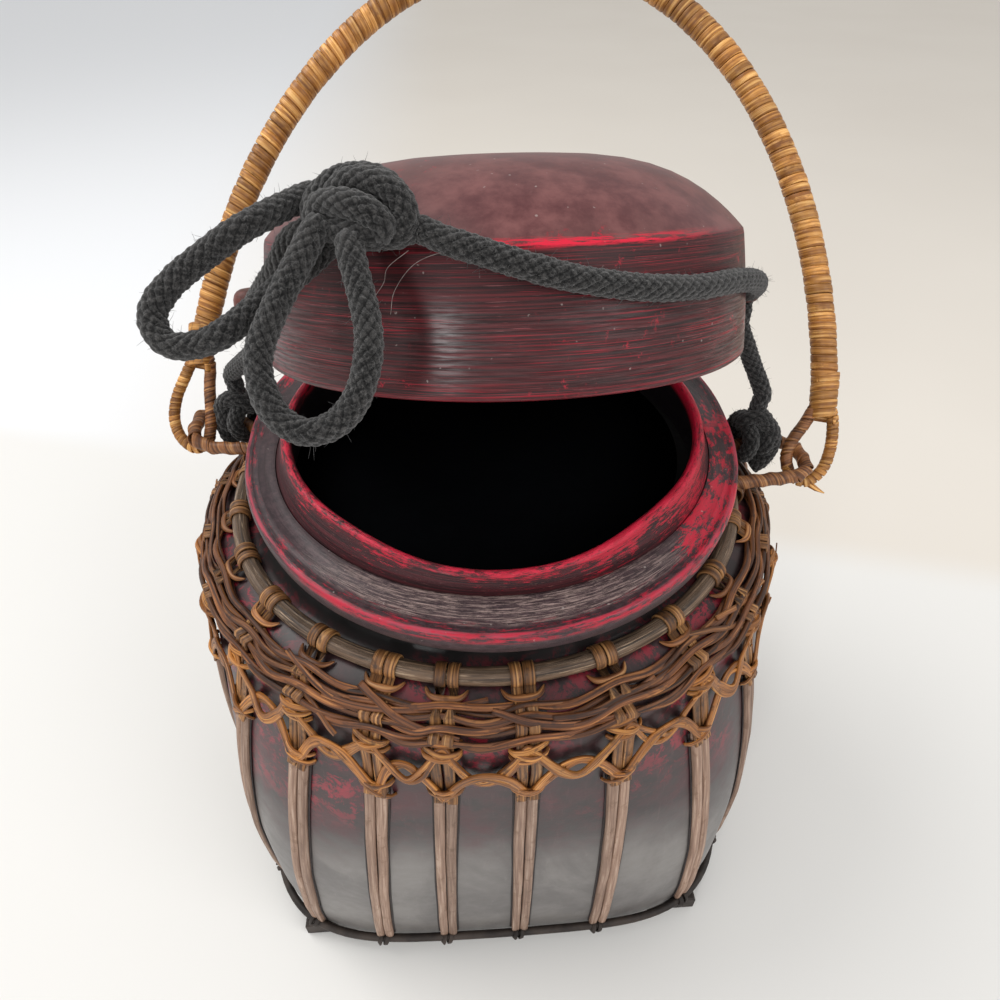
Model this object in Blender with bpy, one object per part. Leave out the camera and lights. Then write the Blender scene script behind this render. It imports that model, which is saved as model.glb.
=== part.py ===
"""Sticky rice basket with a corded lid and a wrapped bail handle.

Metres, +Z up.  The origin is on the ground under the middle of the base board.
The front, where the lid stands open, faces -Y.
"""
import math

import bmesh
import bpy
import numpy as np
from mathutils import Matrix, Vector

# Clearance between pieces that touch
GAP = 0.0003

# Base board
BOARD_HALF = 0.0840
BOARD_MIDDLE_Y = 0.0010
BOARD_THICK = 0.0090
BOARD_EDGE = 0.0008

# Body: height above the board, half width, half depth, how square the plan is (2 is round), middle's Y.
# The foot sits a little further back than the neck.
BODY_OUTLINE = (
    (0.0000, 0.0990, 0.0950, 4.2, 0.0060),
    (0.0220, 0.1005, 0.0965, 4.1, 0.0055),
    (0.0610, 0.1010, 0.0980, 3.7, 0.0045),
    (0.1010, 0.1000, 0.0985, 3.0, 0.0030),
    (0.1400, 0.0985, 0.0980, 2.3, 0.0012),
    (0.1540, 0.0984, 0.0984, 2.0, 0.0),
    (0.1627, 0.0978, 0.0978, 2.0, 0.0),
    (0.1687, 0.0925, 0.0925, 2.0, 0.0),
    (0.1717, 0.0860, 0.0860, 2.0, 0.0),
    (0.1731, 0.0790, 0.0790, 2.0, 0.0),
    (0.1780, 0.0752, 0.0752, 2.0, 0.0),
    (0.1898, 0.0745, 0.0745, 2.0, 0.0),
)
BODY_WALL = 0.0030
BODY_SEGMENTS = 48
SHOULDER_ROW = 7
NECK_BORE = 0.0640
NECK_BORE_DEPTH = 0.0120
NECK_BORE_FLARE = 0.0040

# Hoops
BASE_HOOP_RADIUS = 0.0021
HOOP_RING = 0.0838
HOOP_RADIUS = 0.0026
HOOP_SIDES = 6

# Ribs: pairs of half-round splits that go on as flat bands over the shoulder hoop
RIB_COUNT = 24
RIB_WIDTH = 0.0067
RIB_DEPTH = 0.0026
RIB_TOP = 0.1490
RIB_SLACK = 0.0003
BAND_WIDTH = 0.0050
BAND_THICK = 0.0008
BAND_STEP = 0.0012
BAND_SLACK = 0.0004
HOOP_ROW = 7
HOOK_ANGLES = (-15.0, 45.0, 105.0, 165.0)
# The ribs in front as they were tied by hand: degrees from the front at the top and at the foot
FRONT_RIBS = ((-50.3, -56.0), (-35.4, -42.0), (-21.2, -27.5), (-9.7, -13.5), (3.8, 4.0), (19.5, 22.5),
              (35.6, 41.5), (52.0, 56.5), (69.5, 68.5))

# Rows of splits outside the bands: where on the body's outline (row, share to the next) and half thickness
ROW_RADIUS = 0.0011
ROW_SIDES = 4
WEAVE_PLACES = ((6, 0.93), (6, 0.53), (6, 0.13))
SCALLOP_PLACE = 5
SCALLOP_SHARES = (0.25, 0.75)
LASHING_SHARE = 0.20
SCALLOP_POINTS = 4

# Neck
NECK_CENTRE = (0.0022, -0.0060)
FLANGE_CENTRE = (0.0020, -0.0025)
FLANGE_RADIUS = 0.0840
FLANGE_NOSE = 0.0024
FLANGE_BACK = 0.0045
FLANGE_NARROW = 0.0062
FLANGE_WIDE_BACK = 0.6
FLANGE_THICK = 0.0079
FLANGE_DISH = 0.0008
FLANGE_BORE = 0.0690
# Rim of the flange: how far in it is at the bottom, at the top edge and at the dish, and the top chamfer's depth
FLANGE_UNDERCUT = 0.0016
FLANGE_EDGE = 0.0008
FLANGE_DISH_INSET = 0.0055
FLANGE_CHAMFER = 0.0022
FLANGE_SEAT = 0.0052
COLLAR_RADIUS = 0.0678
COLLAR_CORNER = 0.0024
COLLAR_TAPER = 0.0027
COLLAR_HEIGHT = 0.0095
COLLAR_DIP = 0.0030
COLLAR_WALL = 0.0030
COLLAR_FOOT = 0.0040
COLLAR_STEP = 0.0006
COLLAR_ROUND = 0.0004
COLLAR_CHAMFER = 0.0009
# The inside of the blunt corner is a little sharper than the outside
COLLAR_CORNER_INSIDE = 1.3 * COLLAR_CORNER

# Lid
LID_RADIUS = 0.0734
LID_TOP_RADIUS = 0.0700
LID_WALL_HEIGHT = 0.0333
LID_DOME_HEIGHT = 0.0208
LID_DOME_POWER = 3.7
LID_RIM_CHAMFER = 0.0007
LID_EDGE_DROP = 0.0010
LID_RIM_FLAT = 0.0012
LID_WALL = 0.0024
DOME_RADII = (0.010, 0.032, 0.048, 0.0585, 0.0660)
DOME_RADII_INSIDE = (0.056, 0.044, 0.028, 0.010)
LID_REST_CENTRE = (0.0076, 0.0119, 0.2305)
LID_TURN = math.radians(2.0)
EAR_REACH = 0.0830
EAR_WIDTH = 0.0130
EAR_LOW = 0.0095
EAR_HIGH = 0.0190
EAR_ROUND = 0.0010
EAR_ROUND_HEIGHT = 0.0012
EAR_TIP = 0.6
EAR_TIP_DEGREES = (70.0, 35.0, 0.0, -35.0, -70.0)

# Lugs, drawn in plan: from one end on the hoop, round the pin that the handle's eye hangs on, to the other
LUG_RADIUS = 0.0022
LUG_RIGHT = ((0.0800, -0.0162), (0.0900, -0.0155), (0.1035, -0.0140), (0.1082, -0.0118), (0.1099, -0.0085),
             (0.1099, -0.0005), (0.1082, 0.0030), (0.1035, 0.0050), (0.0900, 0.0045), (0.0815, 0.0028))
LUG_LEFT = ((-0.0826, 0.0140), (-0.0895, 0.0149), (-0.0975, 0.0163), (-0.1028, 0.0182), (-0.1045, 0.0220),
            (-0.1045, 0.0300), (-0.1028, 0.0340), (-0.0975, 0.0352), (-0.0900, 0.0310), (-0.0805, 0.0232))
# How far each lug's pin stands above its legs
LUG_RISE_RIGHT = 0.0006
LUG_RISE_LEFT = 0.0026
LUG_RISE_SHARES = (0.0, 0.0, 0.0, 0.7, 1.0, 1.0, 0.7, 0.0, 0.0, 0.0)

# Handle: half an ellipse in its own plane, measured along the hinge line and square to it
HANDLE_LEAN = math.radians(36.0)
HANDLE_SPAN = 0.1118
HANDLE_HEIGHT = 0.1632
HANDLE_MIDDLE_X = 0.0055
HANDLE_SKEW = 0.027
CORE_RADIUS = 0.0026
CORE_POINTS = 36
CORE_SLACK = 0.0002
WRAP_RADIUS = 0.0008
WRAP_TURNS = 24
WRAP_POINTS = 12
WRAP_SIDES = 4
WRAP_SLACK = 0.0001
WRAP_MARGIN = 0.0040
EYE_RADIUS = 0.0023
EYE_SIDES = 8
# Outline of each eye, outward from its lug's pin and up from it, as it would be round a pin of no
# thickness: each point stands off by the lug's own radius
EYE_RIGHT = ((0.00525, 0.01690), (0.00776, 0.01446), (0.00846, 0.00974), (0.00772, 0.00268),
             (0.00566, -0.00306), (0.00187, -0.00629), (-0.00184, -0.00437), (-0.00262, -0.00033),
             (-0.00223, 0.00354), (0.00016, 0.00920), (0.00252, 0.01443))
EYE_LEFT = ((-0.00129, 0.02470), (0.00154, 0.02181), (0.00405, 0.01577), (0.00644, 0.00817),
            (0.00645, 0.00143), (0.00425, -0.00326), (0.00059, -0.00601), (-0.00250, -0.00430),
            (-0.00274, -0.00056), (-0.00358, 0.00422), (-0.00382, 0.01181), (-0.00398, 0.02074))

# Cords
CORD_RADIUS = 0.0030
CORD_SIDES = 8
CORD_LEAD = 0.0040
CORD_SLACK = 0.0002
LOOP_STEPS = 6
LOOP_POINTS = 34
KNOT_BORE = LUG_RADIUS + GAP
KNOT_RADIUS = 0.0092
KNOT_LIFT = 0.0036
KNOT_SLACK = 0.0006
KNOT_LENGTH = 0.0115
KNOT_SIDES = 16
# Rings of the bead: share of its radius (none for the bore), share of its length, whether it is lifted off the leg
KNOT_ROWS = ((0.0, -0.42, 0.0), (0.72, -0.5, 1.0), (1.0, -0.22, 1.0), (1.0, 0.22, 1.0), (0.72, 0.5, 1.0),
             (0.0, 0.42, 0.0))
KNOT_LEAN = 0.4
KNOT_RIGHT_X = 0.0950
KNOT_LEFT_X = -0.0893
# Front cord on the lid's wall: degrees from the front towards +X, height above the rim
FRONT_CORD_RIGHT = ((70.0, 0.0178), (58.0, 0.0208), (45.0, 0.0226), (33.0, 0.0228), (20.0, 0.0240),
                    (8.0, 0.0266), (-1.0, 0.0297), (-9.0, 0.0330), (-15.0, 0.0354),
                    (-19.5, 0.0376))
FRONT_CORD_LEFT = ((-70.0, 0.0185), (-60.0, 0.0240), (-53.0, 0.0300), (-47.5, 0.0360))
# Bow knot: degrees from the front, then radius and height in the lid's own frame, then its half sizes
BOW_KNOT_DEGREES = -30.0
BOW_KNOT_PLACE = (0.0736, 0.0412)
BOW_KNOT_SIZE = (0.0125, 0.0075, 0.0075)
BOW_KNOT_ROWS = (-72.0, -50.0, -25.0, 0.0, 25.0, 50.0, 72.0)
BOW_KNOT_SIDES = 12
# Directions in which the loops leave the knot: along it, outward, up
BOW_ENDS_LEFT = ((-1.0, -0.10, 0.15), (-0.95, 0.10, -0.55))
BOW_ENDS_FRONT = ((-0.50, 0.85, -0.30), (0.35, 0.80, -0.60))
BOW_LOOP_LEFT = ((-0.0505, -0.0405, 0.2893), (-0.0596, -0.0441, 0.2847), (-0.0673, -0.0478, 0.2800),
                 (-0.0713, -0.0518, 0.2753), (-0.0689, -0.0558, 0.2710), (-0.0626, -0.0566, 0.2705),
                 (-0.0539, -0.0543, 0.2736))
BOW_LOOP_FRONT = ((-0.0455, -0.0578, 0.2763), (-0.0483, -0.0638, 0.2694), (-0.0459, -0.0701, 0.2625),
                  (-0.0393, -0.0735, 0.2590), (-0.0320, -0.0723, 0.2608), (-0.0272, -0.0678, 0.2662),
                  (-0.0254, -0.0604, 0.2746))

ROUND_SEGMENTS = 48

# Heights that follow from the above
BODY_BASE = BOARD_THICK + GAP
NECK_TOP = BODY_BASE + BODY_OUTLINE[-1][0]
FLANGE_LOW = NECK_TOP + GAP
FLANGE_TOP = FLANGE_LOW + FLANGE_THICK
# The open lid leans back until its rear edge stands on the flange
LID_TILT = math.asin((LID_REST_CENTRE[2] - FLANGE_TOP - GAP) / (LID_RADIUS - LID_RIM_CHAMFER))

MATERIALS = {
    "lacquer": ((0.23, 0.19, 0.18), 0.45),
    "lacquer_lid": ((0.12, 0.06, 0.06), 0.45),
    "lacquer_red": ((0.30, 0.06, 0.08), 0.40),
    "wood_dark": ((0.06, 0.045, 0.04), 0.70),
    "split": ((0.36, 0.29, 0.26), 0.65),
    "rattan": ((0.14, 0.11, 0.09), 0.60),
    "twine": ((0.22, 0.11, 0.06), 0.65),
    "cane": ((0.45, 0.26, 0.08), 0.50),
    "cord": ((0.012, 0.012, 0.014), 0.95),
}


def clear_scene():
    for obj in list(bpy.data.objects):
        bpy.data.objects.remove(obj, do_unlink=True)


def material(name):
    found = bpy.data.materials.get(name)
    if found:
        return found
    colour, roughness = MATERIALS[name]
    made = bpy.data.materials.new(name)
    made.use_nodes = True
    shader = made.node_tree.nodes["Principled BSDF"]
    shader.inputs["Base Color"].default_value = (*colour, 1.0)
    shader.inputs["Roughness"].default_value = roughness
    shader.inputs["Metallic"].default_value = 0.0
    return made


def add_mesh(name, rings, slot, closed=False, smooth=True):
    """One solid from rings of equally many points, capped at both ends unless the rings close."""
    mesh = bpy.data.meshes.new(name)
    work = bmesh.new()
    rows = [[work.verts.new(point) for point in ring] for ring in rings]
    count = len(rows[0])
    last = len(rows) if closed else len(rows) - 1
    for i in range(last):
        low, high = rows[i], rows[(i + 1) % len(rows)]
        for j in range(count):
            k = (j + 1) % count
            work.faces.new((low[j], low[k], high[k], high[j]))
    caps = []
    if not closed:
        caps = [work.faces.new(rows[0]), work.faces.new(rows[-1])]
    bmesh.ops.recalc_face_normals(work, faces=work.faces)
    for face in work.faces:
        face.smooth = smooth and face not in caps
    work.to_mesh(mesh)
    work.free()
    obj = bpy.data.objects.new(name, mesh)
    obj.data.materials.append(material(slot))
    bpy.context.scene.collection.objects.link(obj)
    return obj


def transformed(rings, matrix):
    return [[matrix @ Vector(point) for point in ring] for ring in rings]


def unit(vector):
    return vector / np.linalg.norm(vector)


def smooth_curve(points, per_span, closed=False):
    """Catmull-Rom curve through hand-chosen points."""
    p = [np.array(q, float) for q in points]
    n = len(p)
    out = []
    spans = n if closed else n - 1
    for i in range(spans):
        if closed:
            a, b, c, d = (p[(i + k) % n] for k in (-1, 0, 1, 2))
        else:
            b, c = p[i], p[i + 1]
            a = p[i - 1] if i else 2 * b - c
            d = p[i + 2] if i + 2 < n else 2 * c - b
        for step in range(per_span):
            t = step / per_span
            out.append(0.5 * (2 * b + (c - a) * t + (2 * a - 5 * b + 4 * c - d) * t * t
                              + (3 * b - 3 * c + d - a) * t ** 3))
    if not closed:
        out.append(p[-1])
    return np.array(out)


def tube_rings(points, radius, sides, closed=False, up=None):
    """Rings of a round tube along points, with a frame carried along the path."""
    points = np.asarray(points, float)
    count = len(points)
    rings = []
    normal = None
    for i in range(count):
        before = points[i - 1] if closed or i else points[0]
        after = points[(i + 1) % count] if closed or i + 1 < count else points[-1]
        here = points[i]
        arrive = unit(here - before) if np.linalg.norm(here - before) > 0 else unit(after - here)
        leave = unit(after - here) if np.linalg.norm(after - here) > 0 else arrive
        tangent = unit(arrive + leave)
        stretch = 1.0 / max(0.85, float(np.dot(arrive, tangent)))
        if up is not None:
            normal = unit(np.cross(np.array(up, float), tangent))
        elif normal is None:
            trial = np.array((0.0, 0.0, 1.0)) if abs(tangent[2]) < 0.8 else np.array((1.0, 0.0, 0.0))
            normal = unit(np.cross(trial, tangent))
        else:
            normal = unit(normal - np.dot(normal, tangent) * tangent)
        other = np.cross(tangent, normal)
        bend = leave - arrive
        side = unit(bend) if np.linalg.norm(bend) > 1e-6 else None
        ring = []
        for j in range(sides):
            angle = 2 * math.pi * (j + 0.5) / sides
            offset = radius * (math.cos(angle) * normal + math.sin(angle) * other)
            if side is not None:
                offset = offset + (stretch - 1.0) * np.dot(offset, side) * side
            ring.append(here + offset)
        rings.append(ring)
    return rings


def add_tube(name, points, radius, sides, slot, closed=False, up=None):
    return add_mesh(name, tube_rings(points, radius, sides, closed, up), slot, closed)


# Body

def body_row(position):
    """Height above the ground, half width, half depth, squareness and middle at a place on the outline."""
    index = min(int(position), len(BODY_OUTLINE) - 2)
    share = position - index
    low, high = np.array(BODY_OUTLINE[index]), np.array(BODY_OUTLINE[index + 1])
    row = low + share * (high - low)
    row[0] += BODY_BASE
    return row


def plan_point(row, angle, wall=0.0):
    """Point of one row of the body at a plan angle round the row's middle."""
    height, half, deep, power, middle = row
    c, s = math.cos(angle), math.sin(angle)
    radius = (abs(c / (half - wall)) ** power + abs(s / (deep - wall)) ** power) ** (-1.0 / power)
    return np.array((radius * c, middle + radius * s, height))


def body_point(position, angle):
    """Point on the faceted body, whose rows are joined by straight lines."""
    index = min(int(position), len(BODY_OUTLINE) - 2)
    share = position - index
    low, high = plan_point(body_row(index), angle), plan_point(body_row(index + 1), angle)
    return low + share * (high - low)


def body_normal(position, angle):
    """Outward direction at a place on the body, between those of the facets that meet there."""
    total = np.zeros(3)
    for move in (-0.01, 0.01):
        place = min(max(position + move, 0.0), len(BODY_OUTLINE) - 1.001)
        index = int(place)
        along = unit(body_point(index + 0.9, angle) - body_point(index + 0.1, angle))
        across = unit(body_point(place, angle + 0.01) - body_point(place, angle - 0.01))
        total += unit(np.cross(across, along))
    return unit(total)


def body_angles(count=BODY_SEGMENTS):
    step = 2 * math.pi / count
    return [step * i for i in range(count)]


def position_at_height(height):
    for index in range(len(BODY_OUTLINE) - 1):
        low, high = body_row(index)[0], body_row(index + 1)[0]
        if height <= high:
            return index + (height - low) / (high - low)
    return float(len(BODY_OUTLINE) - 1)


def build_board():
    h, t, e = BOARD_HALF, BOARD_THICK, BOARD_EDGE
    rings = []
    corners = ((1, 1), (-1, 1), (-1, -1), (1, -1))
    for half, height in ((h - e, 0.0), (h, e), (h, t - e), (h - e, t)):
        rings.append([(u * half, BOARD_MIDDLE_Y + v * half, height) for u, v in corners])
    add_mesh("base_plate", rings, "wood_dark", smooth=False)


def build_body():
    rows = [body_row(index) for index in range(len(BODY_OUTLINE))]
    rings = [[plan_point(row, angle) for angle in body_angles()] for row in rows]
    bore = (NECK_BORE, NECK_BORE, 2.0, 0.0)
    flare = NECK_BORE + NECK_BORE_FLARE
    inner = [(NECK_TOP, *bore), (NECK_TOP - NECK_BORE_DEPTH, *bore),
             (rows[SHOULDER_ROW + 1][0] - BODY_WALL, flare, flare, 2.0, 0.0)]
    rings += [[plan_point(row, angle) for angle in body_angles()] for row in inner]
    for row in rows[SHOULDER_ROW:0:-1]:
        lower = (row[0] - BODY_WALL, *row[1:])
        rings.append([plan_point(lower, angle, BODY_WALL) for angle in body_angles()])
    floor = (BODY_BASE + BODY_WALL, *rows[0][1:])
    rings.append([plan_point(floor, angle, BODY_WALL) for angle in body_angles()])
    add_mesh("body_shell", rings, "lacquer")


def build_base_hoop():
    height = BODY_BASE + BASE_HOOP_RADIUS + GAP
    position = position_at_height(height)
    points = []
    for angle in body_angles():
        out = body_normal(position, angle) * (1, 1, 0)
        foot = body_point(position_at_height(height + BASE_HOOP_RADIUS), angle)
        place = foot + unit(out) * (GAP + BASE_HOOP_RADIUS)
        points.append((place[0], place[1], height))
    add_tube("base_hoop", points, BASE_HOOP_RADIUS, 6, "wood_dark", closed=True, up=(0, 0, 1))
    return height + BASE_HOOP_RADIUS


def shoulder_hoop_height():
    """The hoop rests on the shoulder: the lowest height that clears the body under it."""
    best = 0.0
    for step in range(401):
        height, half = body_row(6 + 4 * step / 401)[:2]
        reach = HOOP_RADIUS + GAP
        across = half - HOOP_RING
        if abs(across) < reach:
            best = max(best, height + math.sqrt(reach * reach - across * across))
    return best


def build_shoulder_hoop():
    height = shoulder_hoop_height()
    points = [(HOOP_RING * math.cos(a), HOOP_RING * math.sin(a), height) for a in body_angles()]
    add_tube("shoulder_hoop", points, HOOP_RADIUS, HOOP_SIDES, "rattan", closed=True, up=(0, 0, 1))


HALF_ROUNDS = ((-0.50, 0.0), (-0.38, 0.90), (-0.13, 0.90), (0.0, 0.25), (0.13, 0.90), (0.38, 0.90), (0.50, 0.0))
FLAT_PAIR = ((-0.50, 0.0), (-0.49, 1.0), (-0.04, 1.0), (0.0, 0.45), (0.04, 1.0), (0.49, 1.0), (0.50, 0.0))


def rib_stations(top_angle, foot_angle, foot):
    """Places along a rib: point on its inner face, outward direction, width, depth and outline."""
    stations = []
    seat = GAP + RIB_SLACK
    first = position_at_height(foot)
    top = position_at_height(RIB_TOP)
    positions = [first] + [p for p in range(len(BODY_OUTLINE)) if first + 0.05 < p < top - 0.05] + [top]
    for position in positions:
        share = (body_row(position)[0] - foot) / (RIB_TOP - foot)
        angle = foot_angle + share * (top_angle - foot_angle)
        out = body_normal(position, angle)
        stations.append((body_point(position, angle) + out * seat, out, RIB_WIDTH, RIB_DEPTH, HALF_ROUNDS))
    band_start = position_at_height(RIB_TOP + BAND_STEP)
    positions = [band_start] + list(range(int(band_start) + 1, HOOP_ROW + 1))
    for position in positions:
        out = body_normal(position, top_angle)
        stations.append((body_point(position, top_angle) + out * seat, out, BAND_WIDTH, BAND_THICK, FLAT_PAIR))
    centre = np.array((0.0, 0.0, shoulder_hoop_height()))
    radial = np.array((math.cos(top_angle), math.sin(top_angle), 0.0))
    for degrees in HOOK_ANGLES:
        turn = math.radians(degrees)
        out = math.cos(turn) * radial + math.sin(turn) * np.array((0.0, 0.0, 1.0))
        reach = HOOP_RADIUS + GAP + BAND_SLACK
        stations.append((centre + HOOP_RING * radial + out * reach, out, BAND_WIDTH, BAND_THICK, FLAT_PAIR))
    return stations


def rib_angles():
    """Plan angles of each rib at its top and foot: hand spaced in front, even round the back."""
    angles = list(FRONT_RIBS)
    first, last = FRONT_RIBS[0], FRONT_RIBS[-1]
    spaces = RIB_COUNT - len(FRONT_RIBS) + 1
    for step in range(1, spaces):
        share = step / spaces
        angles.append(tuple(last[k] + share * (360.0 + first[k] - last[k]) for k in (0, 1)))
    return [(math.radians(top - 90.0), math.radians(low - 90.0)) for top, low in angles]


def build_ribs(foot):
    for index, (top, low) in enumerate(rib_angles()):
        rings = []
        for place, out, width, depth, outline in rib_stations(top, low, foot):
            radial = np.array((math.cos(top), math.sin(top), 0.0))
            flat = unit(out * (1, 1, 0.0)) if abs(out[2]) < 0.9 else radial
            side = np.array((-flat[1], flat[0], 0.0))
            rings.append([place + side * (u * width) + out * (v * depth) for u, v in outline])
        add_mesh(f"rib_{index + 1:02d}", rings, "split")


def scallop_wave(angle):
    """1 where the row crosses a rib's bands and 0 half way to the next, at the ribs' real spacing."""
    tops = sorted(top % (2 * math.pi) for top, _ in rib_angles())
    tops = [tops[-1] - 2 * math.pi] + tops + [tops[0] + 2 * math.pi]
    for low, high in zip(tops, tops[1:]):
        if low <= angle % (2 * math.pi) <= high:
            return 0.5 + 0.5 * math.cos(2 * math.pi * (angle % (2 * math.pi) - low) / (high - low))
    return 0.0


def build_rows():
    """Rings of split cane that lie on the bands."""
    reach = GAP + RIB_SLACK + BAND_THICK + GAP + ROW_RADIUS
    for number, (row, share) in enumerate(WEAVE_PLACES, start=1):
        height, half = body_row(row + share)[:2]
        out = body_normal(row + share, 0.0)
        ring, level = half + out[0] * reach, height + out[2] * reach
        points = [(ring * math.cos(a), ring * math.sin(a), level) for a in body_angles()]
        add_tube(f"weave_row_{number}", points, ROW_RADIUS, ROW_SIDES, "twine", closed=True, up=(0, 0, 1))
    points = []
    for a in body_angles(RIB_COUNT * SCALLOP_POINTS):
        wave = scallop_wave(a)
        low, high = SCALLOP_SHARES
        position = SCALLOP_PLACE + low + (high - low) * wave
        points.append(body_point(position, a) + body_normal(position, a) * reach)
    add_tube("scallop_row", points, ROW_RADIUS, ROW_SIDES, "cane", closed=True, up=(0, 0, 1))
    position = 4 + LASHING_SHARE
    position = max(position, position_at_height(RIB_TOP + BAND_STEP + ROW_RADIUS + GAP))
    points = [body_point(position, a) + body_normal(position, a) * reach for a in body_angles()]
    add_tube("lashing_row", points, ROW_RADIUS, ROW_SIDES, "cane", closed=True, up=(0, 0, 1))


# Neck

def ring_at(radius_of, height, centre, dip=0.0):
    """A level ring, or one that dips at the blunt corner in front."""
    ring = []
    for i in range(ROUND_SEGMENTS):
        angle = 2 * math.pi * i / ROUND_SEGMENTS
        radius = radius_of(angle)
        ring.append((centre[0] + radius * math.cos(angle), centre[1] + radius * math.sin(angle),
                     height - dip * nose(angle)))
    return ring


def build_flange():
    def edge(inset):
        return lambda a: (FLANGE_RADIUS - inset + FLANGE_NOSE * nose(a) - narrow(a)
                          + FLANGE_BACK * ((1 + math.sin(a)) / 2) ** 2)

    low, top = FLANGE_LOW, FLANGE_TOP
    rings = [
        ring_at(lambda a: FLANGE_BORE, low, NECK_CENTRE),
        ring_at(edge(FLANGE_UNDERCUT), low, FLANGE_CENTRE),
        ring_at(edge(0.0), top - FLANGE_CHAMFER, FLANGE_CENTRE),
        ring_at(edge(FLANGE_EDGE), top, FLANGE_CENTRE),
        ring_at(edge(FLANGE_DISH_INSET), top - FLANGE_DISH, FLANGE_CENTRE),
        ring_at(lambda a: FLANGE_BORE + FLANGE_SEAT, top, NECK_CENTRE),
        ring_at(lambda a: FLANGE_BORE, top, NECK_CENTRE),
    ]
    add_mesh("neck_flange", rings, "lacquer_lid", closed=True)


def narrow(angle):
    """How much the flange is cut in at its sides, less behind than in front."""
    return FLANGE_NARROW * math.cos(angle) ** 2 * (1.0 - FLANGE_WIDE_BACK * max(math.sin(angle), 0.0))


def nose(angle):
    """1 at the front, falling away quickly to both sides: the blunt corner of the hand-cut neck."""
    return ((1 - math.sin(angle)) / 2) ** 5


def build_collar():
    # where the top dips it lies lower on the tapered wall, so it stands further out there
    spread = COLLAR_TAPER * COLLAR_DIP / COLLAR_HEIGHT

    def outside(inset, more=0.0):
        return lambda a: COLLAR_RADIUS - inset + (COLLAR_CORNER + more) * nose(a)

    def inside(inset):
        radius = COLLAR_RADIUS - COLLAR_TAPER - COLLAR_WALL + inset
        return lambda a: radius + (COLLAR_CORNER_INSIDE + spread) * nose(a)

    top = FLANGE_TOP + COLLAR_HEIGHT
    socket = FLANGE_BORE - GAP
    rings = [
        ring_at(lambda a: socket - COLLAR_FOOT, FLANGE_LOW, NECK_CENTRE),
        ring_at(lambda a: socket, FLANGE_LOW, NECK_CENTRE),
        ring_at(lambda a: socket, FLANGE_TOP, NECK_CENTRE),
        ring_at(outside(0.0), FLANGE_TOP + COLLAR_STEP, NECK_CENTRE),
        ring_at(outside(COLLAR_TAPER - COLLAR_ROUND, spread), top - COLLAR_CHAMFER, NECK_CENTRE, COLLAR_DIP),
        ring_at(outside(COLLAR_TAPER + COLLAR_ROUND, spread), top, NECK_CENTRE, COLLAR_DIP),
        ring_at(inside(COLLAR_ROUND), top, NECK_CENTRE, COLLAR_DIP),
        ring_at(inside(0.0), top - COLLAR_CHAMFER, NECK_CENTRE, COLLAR_DIP),
    ]
    add_mesh("mouth_collar", rings, "lacquer_red", closed=True)


# Lid, made round its own rim's middle and then placed

def lid_wall_radius(height):
    return LID_RADIUS + (LID_TOP_RADIUS - LID_RADIUS) * height / LID_WALL_HEIGHT


def dome_height(radius, base, rise):
    """Height above the top edge: flat in the middle and steep near the edge."""
    return rise * (1.0 - (radius / base) ** LID_DOME_POWER)


def lid_place():
    return (Matrix.Translation(Vector(LID_REST_CENTRE)) @ Matrix.Rotation(-LID_TILT, 4, "X")
            @ Matrix.Rotation(LID_TURN, 4, "Z"))


def lid_profile():
    top, rise, wall = LID_WALL_HEIGHT, LID_DOME_HEIGHT, LID_WALL
    outer = [(r, top + dome_height(r, LID_TOP_RADIUS, rise)) for r in DOME_RADII]
    outer += [(LID_TOP_RADIUS, top - LID_EDGE_DROP), (LID_RADIUS, LID_RIM_FLAT)]
    outer += [(LID_RADIUS - LID_RIM_CHAMFER, 0.0)]
    under = LID_TOP_RADIUS - wall
    inner = [(LID_RADIUS - wall, 0.0), (under, top - wall)]
    inner += [(r, top - wall + dome_height(r, under, rise)) for r in DOME_RADII_INSIDE]
    return outer + inner


def build_lid():
    rings = [ring_at(lambda a, r=radius: r, height, (0.0, 0.0)) for radius, height in lid_profile()]
    lid = add_mesh("lid_shell", transformed(rings, lid_place()), "lacquer_lid")
    ears = [build_ear("lid_ear_right", 1), build_ear("lid_ear_left", -1)]
    return [lid] + ears


def build_ear(name, sign):
    """A rounded paddle whose inner face follows the lid's wall."""
    rings = []
    half = EAR_WIDTH / 2
    tip = EAR_TIP * half
    for height, inset in ((EAR_LOW, EAR_ROUND), (EAR_LOW + EAR_ROUND_HEIGHT, 0.0),
                          (EAR_HIGH - EAR_ROUND_HEIGHT, 0.0), (EAR_HIGH, EAR_ROUND)):
        wall = lid_wall_radius(height) + GAP
        reach = EAR_REACH - inset
        outline = []
        for step in range(5):
            y = (half - inset) * (step / 2 - 1)
            outline.append((math.sqrt(wall * wall - y * y), y))
        for degrees in EAR_TIP_DEGREES:
            turn = math.radians(degrees)
            outline.append((reach - tip + tip * math.cos(turn), (half - inset) * math.sin(turn)))
        rings.append([(sign * x, y, height) for x, y in outline])
    return add_mesh(name, transformed(rings, lid_place()), "wood_dark")


def lid_hinge():
    """Point and direction of the turn that carries the lid from shut over the collar to its open rest."""
    rest = np.array(LID_REST_CENTRE)
    shut = np.array((NECK_CENTRE[0], NECK_CENTRE[1], FLANGE_TOP + GAP))
    move = rest - shut
    half = -LID_TILT / 2
    spin = math.atan(move[0] * math.sin(half) / (move[1] * math.sin(half) - move[2] * math.cos(half)))
    turn = Matrix.Rotation(-LID_TILT, 3, "X") @ Matrix.Rotation(2 * spin, 3, "Z")
    matrix = np.array(turn)
    axis, angle = turn.to_quaternion().to_axis_angle()
    axis = np.array(axis)
    if axis[0] > 0:
        axis, angle = -axis, -angle
    point = np.linalg.lstsq(np.eye(3) - matrix, rest - matrix @ shut, rcond=None)[0]
    point = point + axis * np.dot(rest - point, axis)
    return point, axis, angle


# Lugs and handle

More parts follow.
